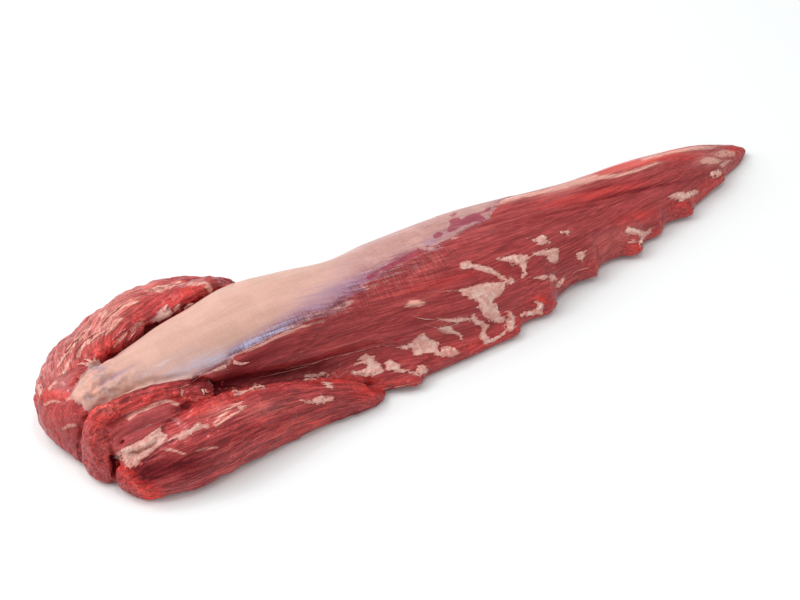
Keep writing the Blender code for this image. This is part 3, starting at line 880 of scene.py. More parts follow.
# How strong the painted shade in a seam is, and the depths in millimetres from where to where the seam is
# painted darker
SEAM_SHADE, SHADE_FROM = 0.7, (0.8, 2.6)
STRONGEST = 1.2
# How coarse the grain looks on the flank, where the head has 1, and how much of it the cut face loses
FLANK_GRAIN, FACE_LOSES = 0.8 * FLANK_SHARE, 0.4
SIGHT_LOSS, SIGHT_FROM = 0.12, (0.0, 0.9)

soft["torn"] = torn
# Painted shade in the seams: the deeper the seam, the darker the meat, except under film and where seams
# are levelled
soft["deep"] = soft["deep"] + SEAM_SHADE * ease(seam, *SHADE_FROM) * (1 - on_film) * (1 - filled)
in_sight = run_past_horizon(np.where(seen, 1.0, 0.0), loss=SIGHT_LOSS, floor=0.0)
marks = {name: np.clip(values, 0, STRONGEST) for name, values in soft.items()}
marks.update({
    "fibre": fibre,
    "fat": fat,
    "film": film,
    "thickness": thickness,
    "on_fat": on_fat * off_table,
    "veil_and_highlight": veil_and_highlight,
    "gap": gap,
    "face": smooth_face,
    "coarse": np.where(on_flank, FLANK_GRAIN, 1.0) * (1 - FACE_LOSES * smooth_face),
    "unseen": 1 - ease(in_sight, *SIGHT_FROM),
})
for name, values in marks.items():
    keep(name, values)

TRIANGLES = 194000
total = sum(len(face.vertices) - 2 for face in skin.data.polygons)
if total > TRIANGLES:
    lighter = skin.modifiers.new("lighter", "DECIMATE")
    lighter.ratio = TRIANGLES / total
    lighter.use_collapse_triangulate = True
    skin.data = plain_mesh(skin)
skin.data.shade_smooth()
print(len(marks), "marks kept; the skin has", len(skin.data.polygons), "faces, from", total, "triangles")

# %% [markdown]
# ## Materials
#
# The colours are written as the photo shows them, 0 to 255, and turned into the light values that
# Blender's shaders work with. A few short helpers wire the nodes, so that a material reads like a
# recipe.


# %% Helpers for wiring nodes
def colour(red, green, blue):
    """A colour as the photo shows it, turned into linear light."""
    def linear(value):
        value /= 255
        return value / 12.92 if value <= 0.04045 else ((value + 0.055) / 1.055) ** 2.4
    return (linear(red), linear(green), linear(blue), 1.0)


def feed(tree, socket, value):
    if isinstance(value, bpy.types.NodeSocket):
        tree.links.new(value, socket)
    else:
        socket.default_value = value


def calc(tree, operation, *values, clamp=False):
    made = tree.nodes.new("ShaderNodeMath")
    made.operation = operation
    made.use_clamp = clamp
    for socket, value in zip(made.inputs, values):
        feed(tree, socket, value)
    return made.outputs[0]


def times(tree, first, second, clamp=False):
    return calc(tree, "MULTIPLY", first, second, clamp=clamp)


def plus(tree, first, second, clamp=False):
    return calc(tree, "ADD", first, second, clamp=clamp)


def swinging(tree, pattern, strength):
    """A noise, whose middle is a half, turned into one that swings round 0."""
    return times(tree, calc(tree, "SUBTRACT", pattern, 0.5), strength)


def blend(tree, share, low, high, mode="MIX"):
    made = tree.nodes.new("ShaderNodeMix")
    made.data_type = "RGBA"
    made.blend_type = mode
    feed(tree, made.inputs[0], share)
    feed(tree, made.inputs[6], low)
    feed(tree, made.inputs[7], high)
    return made.outputs[2]


def between(tree, value, low, high, out_low=0.0, out_high=1.0):
    """Eases from out_low to out_high as the value goes from low to high."""
    made = tree.nodes.new("ShaderNodeMapRange")
    made.interpolation_type = "SMOOTHSTEP"
    for socket, number in zip(made.inputs, (value, low, high, out_low, out_high)):
        feed(tree, socket, number)
    return made.outputs[0]


def kept(tree, name, vector=False):
    made = tree.nodes.new("ShaderNodeAttribute")
    made.attribute_name = name
    return made.outputs["Vector" if vector else "Fac"]


def ramp(tree, value, stops):
    made = tree.nodes.new("ShaderNodeValToRGB")
    band = made.color_ramp
    while len(band.elements) < len(stops):
        band.elements.new(0.5)
    for element, (place, tint) in zip(band.elements, stops):
        element.position = place
        element.color = tint
    feed(tree, made.inputs[0], value)
    return made.outputs[0]


def noise_at(tree, vector, scale, detail=3.0, roughness=0.55):
    made = tree.nodes.new("ShaderNodeTexNoise")
    feed(tree, made.inputs["Vector"], vector)
    feed(tree, made.inputs["Scale"], scale)
    made.inputs["Detail"].default_value = detail
    made.inputs["Roughness"].default_value = roughness
    return made.outputs[0]


print("helpers ready")


# %% [markdown]
# Two effects come up in every finish here. Streaks are noise drawn out along the fibres, and blotches
# are plain noise in the object's own space. Each is a node group with its sizes as inputs, in
# millimetres.

# %% Build the two shared groups
def new_group(name, inputs, outputs):
    group = bpy.data.node_groups.new(name, "ShaderNodeTree")
    for label, value in inputs.items():
        socket = group.interface.new_socket(label, in_out="INPUT", socket_type="NodeSocketFloat")
        socket.default_value = value
    for label in outputs:
        group.interface.new_socket(label, in_out="OUTPUT", socket_type="NodeSocketFloat")
    return group, group.nodes.new("NodeGroupInput"), group.nodes.new("NodeGroupOutput")


streaks, given, result = new_group(
    "fibre_streaks", {"Length": 30.0, "Width": 2.0, "Shift": 0.0}, ["Streaks"])
size = streaks.nodes.new("ShaderNodeCombineXYZ")
for axis, label in enumerate(("Length", "Width", "Width")):
    streaks.links.new(given.outputs[label], size.inputs[axis])
shrink = streaks.nodes.new("ShaderNodeVectorMath")
shrink.operation = "DIVIDE"
streaks.links.new(kept(streaks, "fibre", vector=True), shrink.inputs[0])
streaks.links.new(size.outputs[0], shrink.inputs[1])
shift = streaks.nodes.new("ShaderNodeVectorMath")
shift.operation = "ADD"
streaks.links.new(shrink.outputs[0], shift.inputs[0])
streaks.links.new(given.outputs["Shift"], shift.inputs[1])
streaks.links.new(noise_at(streaks, shift.outputs[0], 1.0, detail=3.5, roughness=0.62), result.inputs[0])

blotches, given, result = new_group("blotches", {"Size": 10.0}, ["Blotches"])
place = blotches.nodes.new("ShaderNodeTexCoord")
per_metre = calc(blotches, "DIVIDE", 1 / MM, given.outputs["Size"])
blotches.links.new(noise_at(blotches, place.outputs["Object"], per_metre), result.inputs[0])
print("groups:", streaks.name, blotches.name)


# %% Use a group in a material
def use(tree, group, **values):
    made = tree.nodes.new("ShaderNodeGroup")
    made.node_tree = group
    for label, value in values.items():
        feed(tree, made.inputs[label], value)
    return made.outputs[0]


# The thin wet layer on everything, and how far red, green and blue light spread inside, in millimetres
COAT_ROUGHNESS = 0.13
SPREAD, SPREAD_SCALE = (1.0, 0.35, 0.25), 2.5


def new_material(name, roughness, coat, specular=0.35, subsurface=0.0):
    """A material with its shader set up, and its node tree."""
    made = bpy.data.materials.new(name)
    made.use_nodes = True
    shader = made.node_tree.nodes["Principled BSDF"]
    shader.inputs["Roughness"].default_value = roughness
    shader.inputs["Specular IOR Level"].default_value = specular
    shader.inputs["Coat Weight"].default_value = coat
    shader.inputs["Coat Roughness"].default_value = COAT_ROUGHNESS
    shader.inputs["Subsurface Weight"].default_value = subsurface
    shader.inputs["Subsurface Radius"].default_value = SPREAD
    shader.inputs["Subsurface Scale"].default_value = SPREAD_SCALE * MM
    return made, made.node_tree, shader


def add_bump(tree, shader, height, distance):
    made = tree.nodes.new("ShaderNodeBump")
    made.inputs["Distance"].default_value = distance * MM
    feed(tree, made.inputs["Height"], height)
    tree.links.new(made.outputs[0], shader.inputs["Normal"])


print("ready for the finishes")

# %% [markdown]
# ### The skin's finish
#
# It is built up as the real surface is: red meat with lighter and darker fibres, then membranes and
# veils, then film by its thickness, then fat on top. Painted shade goes into the seams, and painted
# highlights and sheen, partly carried by the membranes and veils, go where the meat catches the light.
# The edges of film and fat are broken up with noise finer than the net. In each recipe the first two
# numbers after a noise say where in it a change begins and ends, and the next two what it changes from
# and to.

# %% Mix the red of the meat
meat, tree, shader = new_material("raw_beef", 0.42, 0.2, specular=0.1, subsurface=0.12)
RED = colour(162, 58, 60)
DARK_RED = colour(136, 38, 42)
LIGHT_RED = colour(190, 82, 77)
# Also the colour of painted highlights on ridges and corners
BRIGHT_RED = colour(210, 54, 46)
# Also the colour of the painted shade
DEEP_RED = colour(96, 18, 26)
FACE_RED = colour(176, 76, 78)
# Also the colour of painted sheen
MEMBRANE_AND_SHEEN_PINK = colour(212, 138, 128)
# Also the colour of painted highlights on the back lobe and the tail's ridge
VEIL_AND_HIGHLIGHT_PINK = colour(230, 172, 156)
THREAD_PINK = colour(214, 150, 142)

coarse = use(tree, streaks, Length=80.0, Width=6.0, Shift=3.0)
medium = use(tree, streaks, Length=34.0, Width=1.8, Shift=11.0)
fine = use(tree, streaks, Length=16.0, Width=0.8, Shift=23.0)
threads = use(tree, streaks, Length=120.0, Width=1.5, Shift=41.0)
cracks = use(tree, streaks, Length=70.0, Width=1.9, Shift=57.0)
strokes = use(tree, streaks, Length=1.1, Width=7.0, Shift=5.0)
patchy = use(tree, blotches, Size=26.0)
small = use(tree, blotches, Size=4.0)
tiny = use(tree, blotches, Size=1.3)
speckle = use(tree, blotches, Size=1.2)

# Each noise, where in it the colour begins and is full, how strong the colour is then, and the colour
LAYERS = (
    (medium, 0.48, 0.75, 0.5, LIGHT_RED),
    (fine, 0.51, 0.6, 0.35, LIGHT_RED),
    (fine, 0.48, 0.4, 0.3, DARK_RED),
    (patchy, 0.5, 0.75, 0.45, DARK_RED),
    (threads, 0.69, 0.76, 0.6, THREAD_PINK),
    (cracks, 0.35, 0.31, 0.7, DEEP_RED),
)
red = blend(tree, between(tree, coarse, 0.35, 0.62), DARK_RED, RED)
for pattern, begins, full, strength, tint in LAYERS:
    red = blend(tree, between(tree, pattern, begins, full, 0.0, strength), red, tint)

# Each mark, how strongly it shows from place to place, and its colour
torn_colour = blend(tree, between(tree, tiny, 0.45, 0.6), BRIGHT_RED, LIGHT_RED)
COLOURED_MARKS = (
    ("face", 0.75, FACE_RED),
    # Clear red, partly painted highlight on ridges and corners
    ("bright", between(tree, medium, 0.25, 0.6, 0.35, 1.0), BRIGHT_RED),
    ("torn", between(tree, small, 0.4, 0.62), torn_colour),
    # Painted shade in seams, furrows and hollows, and a darker red on a few faces
    ("deep", 0.85, DEEP_RED),
    ("hatch", between(tree, strokes, 0.48, 0.62, 0.0, 0.16), THREAD_PINK),
    ("hatch", between(tree, strokes, 0.5, 0.4, 0.0, 0.2), DARK_RED),
    # Pinkish grey, partly painted sheen
    ("membrane_and_sheen", between(tree, coarse, 0.3, 0.6, 0.35, 1.0), MEMBRANE_AND_SHEEN_PINK),
)
for mark, strength, tint in COLOURED_MARKS:
    red = blend(tree, times(tree, kept(tree, mark), strength, clamp=True), red, tint)
print("marks in the red:", [mark for mark, _, _ in COLOURED_MARKS])

# %% Lay the veils over it, which are partly painted highlight, and let the grain swing light and dark
frayed = swinging(tree, fine, 3.0)
veil_and_highlight_here = between(tree, plus(tree, kept(tree, "veil_and_highlight"), frayed), -1.2, 1.1, 0.0, 0.76)
veil_and_highlight_here = times(tree, veil_and_highlight_here, between(tree, fine, 0.42, 0.54, 0.78, 1.0))
red = blend(tree, veil_and_highlight_here, red, VEIL_AND_HIGHLIGHT_PINK)
crisp = plus(tree, times(tree, fine, 0.65), times(tree, speckle, 0.35))
fine_swing = between(tree, crisp, 0.42, 0.58, -0.26, 0.3)
wide_swing = between(tree, medium, 0.4, 0.6, -0.16, 0.2)
swing = times(tree, kept(tree, "coarse"), plus(tree, fine_swing, wide_swing))
red = blend(tree, 1.0, red, plus(tree, 1.0, swing), mode="MULTIPLY")
print("the meat is red")

# %% Lay the film over it by its thickness
FILM_BY_THICKNESS = (
    (0.0, colour(140, 48, 54)),
    (0.2, colour(146, 78, 84)),
    (0.4, colour(158, 104, 110)),
    (0.6, colour(180, 130, 126)),
    (0.8, colour(188, 142, 134)),
    (1.0, colour(203, 160, 144)),
)
MOTTLE_GREY = colour(172, 140, 136)
MOTTLE_ORANGE = colour(216, 156, 136)
VEIN_BLUE = colour(176, 184, 214)
LILAC_GREY = colour(156, 126, 160)
PURPLE_RED = colour(134, 58, 92)
GAP_RED = colour(148, 56, 76)
FOLD_PINK = colour(224, 176, 162)

thick = kept(tree, "thickness")
ragged = plus(tree, swinging(tree, small, 5.0), swinging(tree, medium, 9.0))
film_inside = plus(tree, kept(tree, "film"), ragged)
film_here = between(tree, film_inside, -0.3, 0.9)
streaky = plus(tree, times(tree, medium, 0.5), times(tree, fine, 0.5))
uneven = times(tree, calc(tree, "SUBTRACT", 1.12, thick), swinging(tree, streaky, 1.3))
film_colour = ramp(tree, plus(tree, thick, uneven, clamp=True), FILM_BY_THICKNESS)
creamy = between(tree, patchy, 0.45, 0.65, 0.0, 0.35)
film_colour = blend(tree, times(tree, creamy, thick), film_colour, FOLD_PINK)
film_colour = blend(tree, between(tree, streaky, 0.44, 0.6, 0.0, 0.22), film_colour, MOTTLE_GREY)
cloudy = use(tree, blotches, Size=9.0)
mottled = blend(tree, between(tree, cloudy, 0.4, 0.6), MOTTLE_GREY, MOTTLE_ORANGE)
blotched = times(tree, kept(tree, "mottle"), between(tree, small, 0.36, 0.64, 0.45, 0.85))
film_colour = blend(tree, blotched, film_colour, mottled)

# %% Let the dark meat show blue and purple through it
SHOWING_THROUGH = (("lilac", LILAC_GREY, 0.8), ("purple", PURPLE_RED, 0.85), ("vein", VEIN_BLUE, 0.85))
broken = times(
    tree, between(tree, streaky, 0.4, 0.6, 0.35, 1.0), between(tree, strokes, 0.4, 0.6, 0.8, 1.0))
for mark, tint, strength in SHOWING_THROUGH:
    amount = times(tree, kept(tree, mark), broken, clamp=True)
    film_colour = blend(tree, times(tree, amount, strength, clamp=True), film_colour, tint)
near_edge = between(tree, film_inside, 2.6, 0.6)
rim = times(tree, near_edge, between(tree, coarse, 0.42, 0.6, 0.0, 0.45))
film_colour = blend(tree, rim, film_colour, FOLD_PINK)
gap_here = between(tree, plus(tree, kept(tree, "gap"), frayed), -1.3, -0.2, 0.0, 0.85)
film_colour = blend(tree, gap_here, film_colour, GAP_RED)

# The film is creped, most of all where it is thin
crepe = plus(tree, times(tree, strokes, 0.25), times(tree, crisp, 0.75))
creped = blend(tree, 1.0, film_colour, between(tree, crepe, 0.43, 0.57, 0.6, 1.35), mode="MULTIPLY")
thinness = calc(tree, "SUBTRACT", 1.0, thick)
busy = plus(tree, thinness, times(tree, kept(tree, "mottle"), 0.2), clamp=True)
film_colour = blend(tree, calc(tree, "MAXIMUM", busy, 0.12), film_colour, creped)
skin_colour = blend(tree, film_here, red, film_colour)
print("the film is on")

# %% Put the fat on top
FAT_CREAM = colour(212, 160, 148)
FAT_PALE = colour(228, 188, 177)
FAT_PINK = colour(204, 124, 114)

lumpy = use(tree, blotches, Size=2.6)
ragged_fat = plus(tree, swinging(tree, streaky, 11.0), swinging(tree, lumpy, 5.0))
fat_inside = plus(tree, kept(tree, "fat"), ragged_fat)
# On the far side, which the photo doesn't show, a few patches are a guess
guess = between(tree, use(tree, blotches, Size=34.0), 0.63, 0.66)
hidden_fat = times(tree, times(tree, guess, kept(tree, "unseen")), between(tree, small, 0.3, 0.5))
fat_here = calc(tree, "MAXIMUM", between(tree, fat_inside, -0.9, 0.0), hidden_fat)
fat_colour = blend(tree, between(tree, small, 0.4, 0.62), FAT_CREAM, FAT_PALE)
pinker_on_head = between(tree, kept(tree, "coarse"), 0.5, 1.0, 0.0, 0.2)
pinker = plus(tree, pinker_on_head, between(tree, lumpy, 0.5, 0.66, 0.0, 0.45))
fat_colour = blend(tree, pinker, fat_colour, FAT_PINK)
fat_colour = blend(tree, between(tree, fat_inside, 2.0, -0.2, 0.0, 0.75), fat_colour, FAT_PINK)
skin_colour = blend(tree, fat_here, skin_colour, fat_colour)
tree.links.new(skin_colour, shader.inputs["Base Color"])
print("the fat is on")

# %% Give the skin its gloss and its grain
pale = calc(tree, "MAXIMUM", film_here, fat_here)
uneven_gloss = between(tree, small, 0.3, 0.7, -0.08, 0.1)
roughness = plus(tree, between(tree, pale, 0.0, 1.0, 0.4, 0.46), uneven_gloss)
tree.links.new(roughness, shader.inputs["Roughness"])
wet = between(tree, kept(tree, "deep"), 0.0, 0.9, 0.4, 0.0)
wet = times(tree, wet, between(tree, pale, 0.0, 1.0, 1.0, 0.4))
tree.links.new(wet, shader.inputs["Coat Weight"])

grain = plus(tree, times(tree, medium, 0.7), times(tree, fine, 0.7))
grain = times(tree, grain, between(tree, kept(tree, "coarse"), 0.4, 1.0, 0.5, 0.7))
grain = times(tree, grain, between(tree, pale, 0.0, 1.0, 1.0, 0.3))
crumbling = calc(tree, "MAXIMUM", times(tree, fat_here, 0.4), kept(tree, "torn"))
crumbly = times(tree, times(tree, tiny, crumbling), 1.28)
step = plus(tree, times(tree, fat_here, 0.5), times(tree, veil_and_highlight_here, 0.25))
step = plus(tree, step, times(tree, film_here, 0.25))
add_bump(tree, shader, plus(tree, plus(tree, grain, crumbly), step), 1.0)
skin.data.materials.append(meat)
print("materials on the skin:", [m.name for m in skin.data.materials])

# %% [markdown]
# ### Finishes of the loose bits
#
# Lumps of fat, scraps of film and crumbs of torn meat are small and have no fibres to follow, so plain
# blotches in the object's own space are enough.


# %% Mix a finish for small things
def small_finish(name, shade, light, roughness, size, bump):
    made, tree, shader = new_material(name, roughness, 0.3, subsurface=0.15)
    spots = use(tree, blotches, Size=size)
    tint = blend(tree, between(tree, spots, 0.38, 0.62), shade, light)
    tree.links.new(tint, shader.inputs["Base Color"])
    add_bump(tree, shader, use(tree, blotches, Size=size * 0.4), bump)
    return made


fat_finish = small_finish("fat", colour(212, 140, 126), FAT_PALE, 0.42, 4.0, 0.3)
film_finish = small_finish("silver_skin", colour(196, 118, 110), colour(224, 172, 158), 0.42, 4.0, 0.2)
torn_finish = small_finish("torn_beef", colour(146, 28, 32), colour(198, 60, 52), 0.4, 5.0, 0.2)
strand_finish = small_finish("film_strand", colour(184, 92, 88), colour(224, 168, 154), 0.4, 6.0, 0.1)
print("finishes:", len(bpy.data.materials))

# %% [markdown]
# ## Grains of fat and crumbs of torn meat
#
# Up close, fat is a heap of small soft grains, and a torn edge is a heap of crumbs. Both are the same
# thing to make: many small balls, set on the skin where a mark says so. Geometry Nodes scatter them
# from one tree, whose inputs say which mark, how many and how large. The tree ends in real mesh, so
# that nothing is left to work out later.


# %% Build the tree that scatters
def new_tree(name, inputs):
    """A Geometry Nodes tree with a geometry input and output, and the inputs asked for."""
    tree = bpy.data.node_groups.new(name, "GeometryNodeTree")
    tree.interface.new_socket("Geometry", in_out="INPUT", socket_type="NodeSocketGeometry")
    for label, kind in inputs.items():
        tree.interface.new_socket(label, in_out="INPUT", socket_type="NodeSocket" + kind)
    tree.interface.new_socket("Geometry", in_out="OUTPUT", socket_type="NodeSocketGeometry")
    return tree, tree.nodes.new("NodeGroupInput").outputs, tree.nodes.new("NodeGroupOutput").inputs


def add(tree, kind, **values):
    """Adds a node and feeds its inputs by name, with _ for a space."""
    made = tree.nodes.new(kind)
    for label, value in values.items():
        feed(tree, made.inputs[label.replace("_", " ")], value)
    return made


def random_size(tree, low, high, seed):
    made = tree.nodes.new("FunctionNodeRandomValue")
    feed(tree, made.inputs[2], low)
    feed(tree, made.inputs[3], high)
    made.inputs["Seed"].default_value = seed
    return made.outputs[1]


def end_tree(tree, geometry, given, result):
    """Ends a tree in real mesh, shaded smooth, in the finish that it is given."""
    real = add(tree, "GeometryNodeRealizeInstances", Geometry=geometry)
    smooth = add(tree, "GeometryNodeSetShadeSmooth", Geometry=real.outputs[0])
    dressed = add(tree, "GeometryNodeSetMaterial", Geometry=smooth.outputs[0], Material=given["Finish"])
    tree.links.new(dressed.outputs[0], result[0])


scatter, given, result = new_tree("scatter", {
    "Mask": "String", "Density": "Float", "Smallest": "Float", "Largest": "Float", "Flatness": "Float",
    "Seed": "Int", "Finish": "Material",
})
mask = add(scatter, "GeometryNodeInputNamedAttribute", Name=given["Mask"])
density = times(scatter, mask.outputs["Attribute"], given["Density"])
points = add(
    scatter, "GeometryNodeDistributePointsOnFaces", Mesh=given["Geometry"], Density=density,
    Seed=given["Seed"])
ball = add(scatter, "GeometryNodeMeshIcoSphere", Radius=0.5, Subdivisions=2)
lengths = [random_size(scatter, given["Smallest"], given["Largest"], seed) for seed in (1, 2, 3)]
flat = times(scatter, lengths[2], given["Flatness"])
shape = add(scatter, "ShaderNodeCombineXYZ", X=lengths[0], Y=lengths[1], Z=flat)
grains = add(
    scatter, "GeometryNodeInstanceOnPoints", Points=points.outputs["Points"],
    Instance=ball.outputs["Mesh"], Rotation=points.outputs["Rotation"], Scale=shape.outputs[0])
end_tree(scatter, grains.outputs[0], given, result)
print("scatter tree:", len(scatter.nodes), "nodes")


# %% Scatter the grains and the crumbs
def grow(name, mesh, tree, **values):
    """Runs a tree on a mesh, with its inputs given by name, and keeps the plain mesh that comes out."""
    made = object_from(mesh, name)
    modifier = made.modifiers.new(name, "NODES")
    modifier.node_group = tree
    for item in tree.interface.items_tree:
        if item.in_out == "INPUT" and item.name in values:
            modifier[item.identifier] = values[item.name]
    made.data = plain_mesh(made)
    print(name, "has", sum(len(face.vertices) - 2 for face in made.data.polygons), "triangles")
    return made


GRAINS_PER_M2 = 260000.0
CRUMBS_PER_M2 = 90000.0
grow(
    "fat_grains", skin.data.copy(), scatter, Mask="on_fat", Density=GRAINS_PER_M2,
    Smallest=0.6 * MM, Largest=2.2 * MM, Flatness=0.22, Seed=7, Finish=fat_finish)
grow(
    "meat_crumbs", skin.data.copy(), scatter, Mask="torn", Density=CRUMBS_PER_M2,
    Smallest=0.8 * MM, Largest=2.8 * MM, Flatness=0.24, Seed=11, Finish=torn_finish)

# %% [markdown]
# ## Knobs of fat
#
# Along the trimmed edge the fat stands up in soft knobs, larger than grains. Modelled one by one they
# would take long, and would still look alike. So each is a few balls of random size, strung on a short
# path. A voxel remesh melts them together, as fat is one soft mass, and smoothing takes away the cubes.


# %% Find the place on the meat that a pixel shows
def on_meat(x, y):
    """The point of the meat that a pixel of the photo shows, and the normal there."""
    reach = camera_data.lens / SENSOR * PHOTO_SIZE[0]
    ray = Vector(((x - PHOTO_SIZE[0] / 2) / reach, (PHOTO_SIZE[1] / 2 - y) / reach, -1.0))
    ray.rotate(camera.rotation_quaternion)
    spot, normal, _, _ = surface.ray_cast(camera.location, ray.normalized())
    if spot is None:
        spot, normal, _, _ = surface.find_nearest(camera.location + ray.normalized() * CAMERA_DISTANCE)
    return spot, normal


def along_path(path, gap):
    """Pixels along a path, about so many pixels apart."""
    corners = np.array(path, float)
    lengths = np.hypot(*np.diff(corners, axis=0).T)
    way = np.concatenate(([0], np.cumsum(lengths)))
    stops = np.linspace(0, way[-1], max(2, int(way[-1] / gap) + 1))
    return np.stack([np.interp(stops, way, corners[:, axis]) for axis in (0, 1)], axis=1)


print("a pixel in the middle shows", on_meat(400, 300)[0])

# %% String balls along short paths, and melt them
# The path in the photo's pixels, and the radius of its balls in millimetres
KNOBS = {
    "tongue_knob": (((509, 314), (511, 327)), 2.6),
    "tongue_rim": (((521, 315), (536, 313), (541, 304)), 1.9),
    "cap_knob": (((444, 351), (454, 352)), 2.4),
    "saddle_knob": (((418, 371), (424, 368)), 2.6),
    "leaf_knob": (((364, 372), (378, 369)), 2.0),
    "fringe_knob": (((640, 242), (645, 234)), 1.6),
    "tail_knob": (((713, 174), (719, 173)), 2.0),
    "comb_knob": (((688, 193), (697, 191)), 1.5),
    "rim_knob": (((559, 285), (563, 280)), 1.6),
    "edge_beads": (((486, 342), (495, 339), (503, 334)), 1.3),
    "flag_knob": (((554, 252), (556, 260)), 1.2),
    "hook_knob": (((524, 258), (523, 275)), 0.9),
    "triangle_foot": (((496, 305), (501, 322)), 1.3),
}
BALL_GAP = 3.0
BALLS_AT_A_STOP = 2
# In shares of the radius: the sizes of the balls, how far they stray, and how deep they sit in the meat
BALL_SIZES = (0.6, 1.0)
JITTER = 0.5
SUNK = 0.45
MELT_VOXEL = 0.45
SEED = 5

generator = np.random.default_rng(SEED)
cluster = bmesh.new()
for path, radius in KNOBS.values():
    for x, y in along_path(path, BALL_GAP):
        for _ in range(BALLS_AT_A_STOP):
            spot, normal = on_meat(x, y)
            size = radius * generator.uniform(*BALL_SIZES) * MM
            nudge = Vector(generator.uniform(-1, 1, 3)) * radius * JITTER * MM
            centre = spot + nudge - normal * (size * SUNK)
            centre.z = max(centre.z, size)
            made = bmesh.ops.create_icosphere(cluster, subdivisions=3, radius=size)
            bmesh.ops.translate(cluster, verts=made["verts"], vec=centre)
knob_mesh = bpy.data.meshes.new("fat_knobs")
cluster.to_mesh(knob_mesh)
cluster.free()
knobs = object_from(knob_mesh, "fat_knobs")
melt = knobs.modifiers.new("melt", "REMESH")
melt.mode = "VOXEL"
melt.voxel_size = MELT_VOXEL * MM
soften = knobs.modifiers.new("soften", "SMOOTH")
soften.factor = 0.6
soften.iterations = 4
knobs.data = plain_mesh(knobs)
knobs.data.materials.append(fat_finish)
knobs.data.shade_smooth()
print("fat knobs have", len(knobs.data.polygons), "faces")

# %% [markdown]
# ## Strands and scraps of film
#
# The knife leaves thin strands of film along the fibres, and scraps that curl up where it was torn. A
# strand is a path laid on the meat, which Geometry Nodes turn into a thin tapered thread. A scrap is a
# small tapered strip whose far end lifts off, and it gets a wall, because a sheet without one has no
# edge to catch the light.

# %% Build the tree that turns paths into threads
thread_tree, given, result = new_tree("threads", {
    "Thickness": "Float", "Spacing": "Float", "Wobble": "Float", "Finish": "Material",
})
curve = add(thread_tree, "GeometryNodeMeshToCurve", Mesh=given["Geometry"])
even = thread_tree.nodes.new("GeometryNodeResampleCurve")
even.mode = "LENGTH"
feed(thread_tree, even.inputs["Curve"], curve.outputs[0])
feed(thread_tree, even.inputs["Length"], given["Spacing"])
position = add(thread_tree, "GeometryNodeInputPosition")
unsteady = noise_at(thread_tree, position.outputs[0], 300.0, detail=1.0)
off_line = swinging(thread_tree, unsteady, given["Wobble"])
shift = add(thread_tree, "ShaderNodeCombineXYZ", X=off_line, Y=off_line)
moved = add(thread_tree, "GeometryNodeSetPosition", Geometry=even.outputs[0], Offset=shift.outputs[0])
way = add(thread_tree, "GeometryNodeSplineParameter").outputs["Factor"]
arch = calc(thread_tree, "SINE", times(thread_tree, way, math.pi))
taper = calc(thread_tree, "POWER", arch, 0.4)
ring = add(thread_tree, "GeometryNodeCurvePrimitiveCircle", Resolution=6, Radius=0.5)
tube = add(
    thread_tree, "GeometryNodeCurveToMesh", Curve=moved.outputs[0], Profile_Curve=ring.outputs[0],
    Scale=times(thread_tree, taper, given["Thickness"]), Fill_Caps=True)
end_tree(thread_tree, tube.outputs[0], given, result)
print("thread tree:", len(thread_tree.nodes), "nodes")

# %% Lay the strands
STRANDS = {
    "along_the_flank": (
        (249, 380), (279, 373), (307, 366), (322, 360), (354, 352), (378, 346), (396, 345)),
    "triangle_tail": ((426, 293), (442, 291.5), (460, 290)),
    "chip_line": ((570.5, 274.5), (578, 270), (589.5, 267.5)),
    "tongue_line": ((382, 389.5), (400, 386), (421, 381.5)),
    "middle_edge": ((125, 417), (143, 409), (157, 403)),
    "film_edge": ((176, 389), (188, 385), (200, 376), (214, 372), (229, 369)),
    "film_edge_2": ((234, 357), (246, 350.5), (260, 345)),
    "wisp_tail": ((424, 324), (434, 327), (444, 331)),
    "edge_tail": ((412, 316), (424, 319), (440, 320)),
}
BACK_STREAKS = {
    "back_1": ((64, 354), (72, 344), (80, 336), (86, 331)),
    "back_2": ((75, 351), (84, 341), (92, 335), (100, 331)),
    "back_3": ((90, 343), (99, 336), (109, 329)),
    "back_4": ((112, 341), (118, 334), (126, 329)),
    "back_5": ((100, 326), (108, 317), (118, 309), (124, 303)),
    "back_6": ((128, 341), (132, 335), (136, 331)),
    "back_7": ((60, 366), (64, 358), (70, 352)),
}
STRAND_GAP = 2.0
# How far a strand's middle stands off the meat, in its own thicknesses
STRAND_LIFT = 0.45
STRAND_SPACING, STRAND_WOBBLE = 0.8, 1.6


def lay(name, paths, thickness):
    """Lays each path on the meat and turns it into a thread."""
    corners, runs = [], []
    for path in paths.values():
        first = len(corners)
        for x, y in along_path(path, STRAND_GAP):
            spot, normal = on_meat(x, y)
            corners.append(spot + normal * (STRAND_LIFT * thickness * MM))
        runs += [(i, i + 1) for i in range(first, len(corners) - 1)]
    laid = bpy.data.meshes.new(name)
    laid.from_pydata(corners, runs, [])
    grow(
        name, laid, thread_tree, Thickness=thickness * MM, Spacing=STRAND_SPACING * MM,
        Wobble=STRAND_WOBBLE * MM, Finish=strand_finish)


lay("film_strands", STRANDS, 0.45)
lay("fat_streaks", BACK_STREAKS, 1.1)

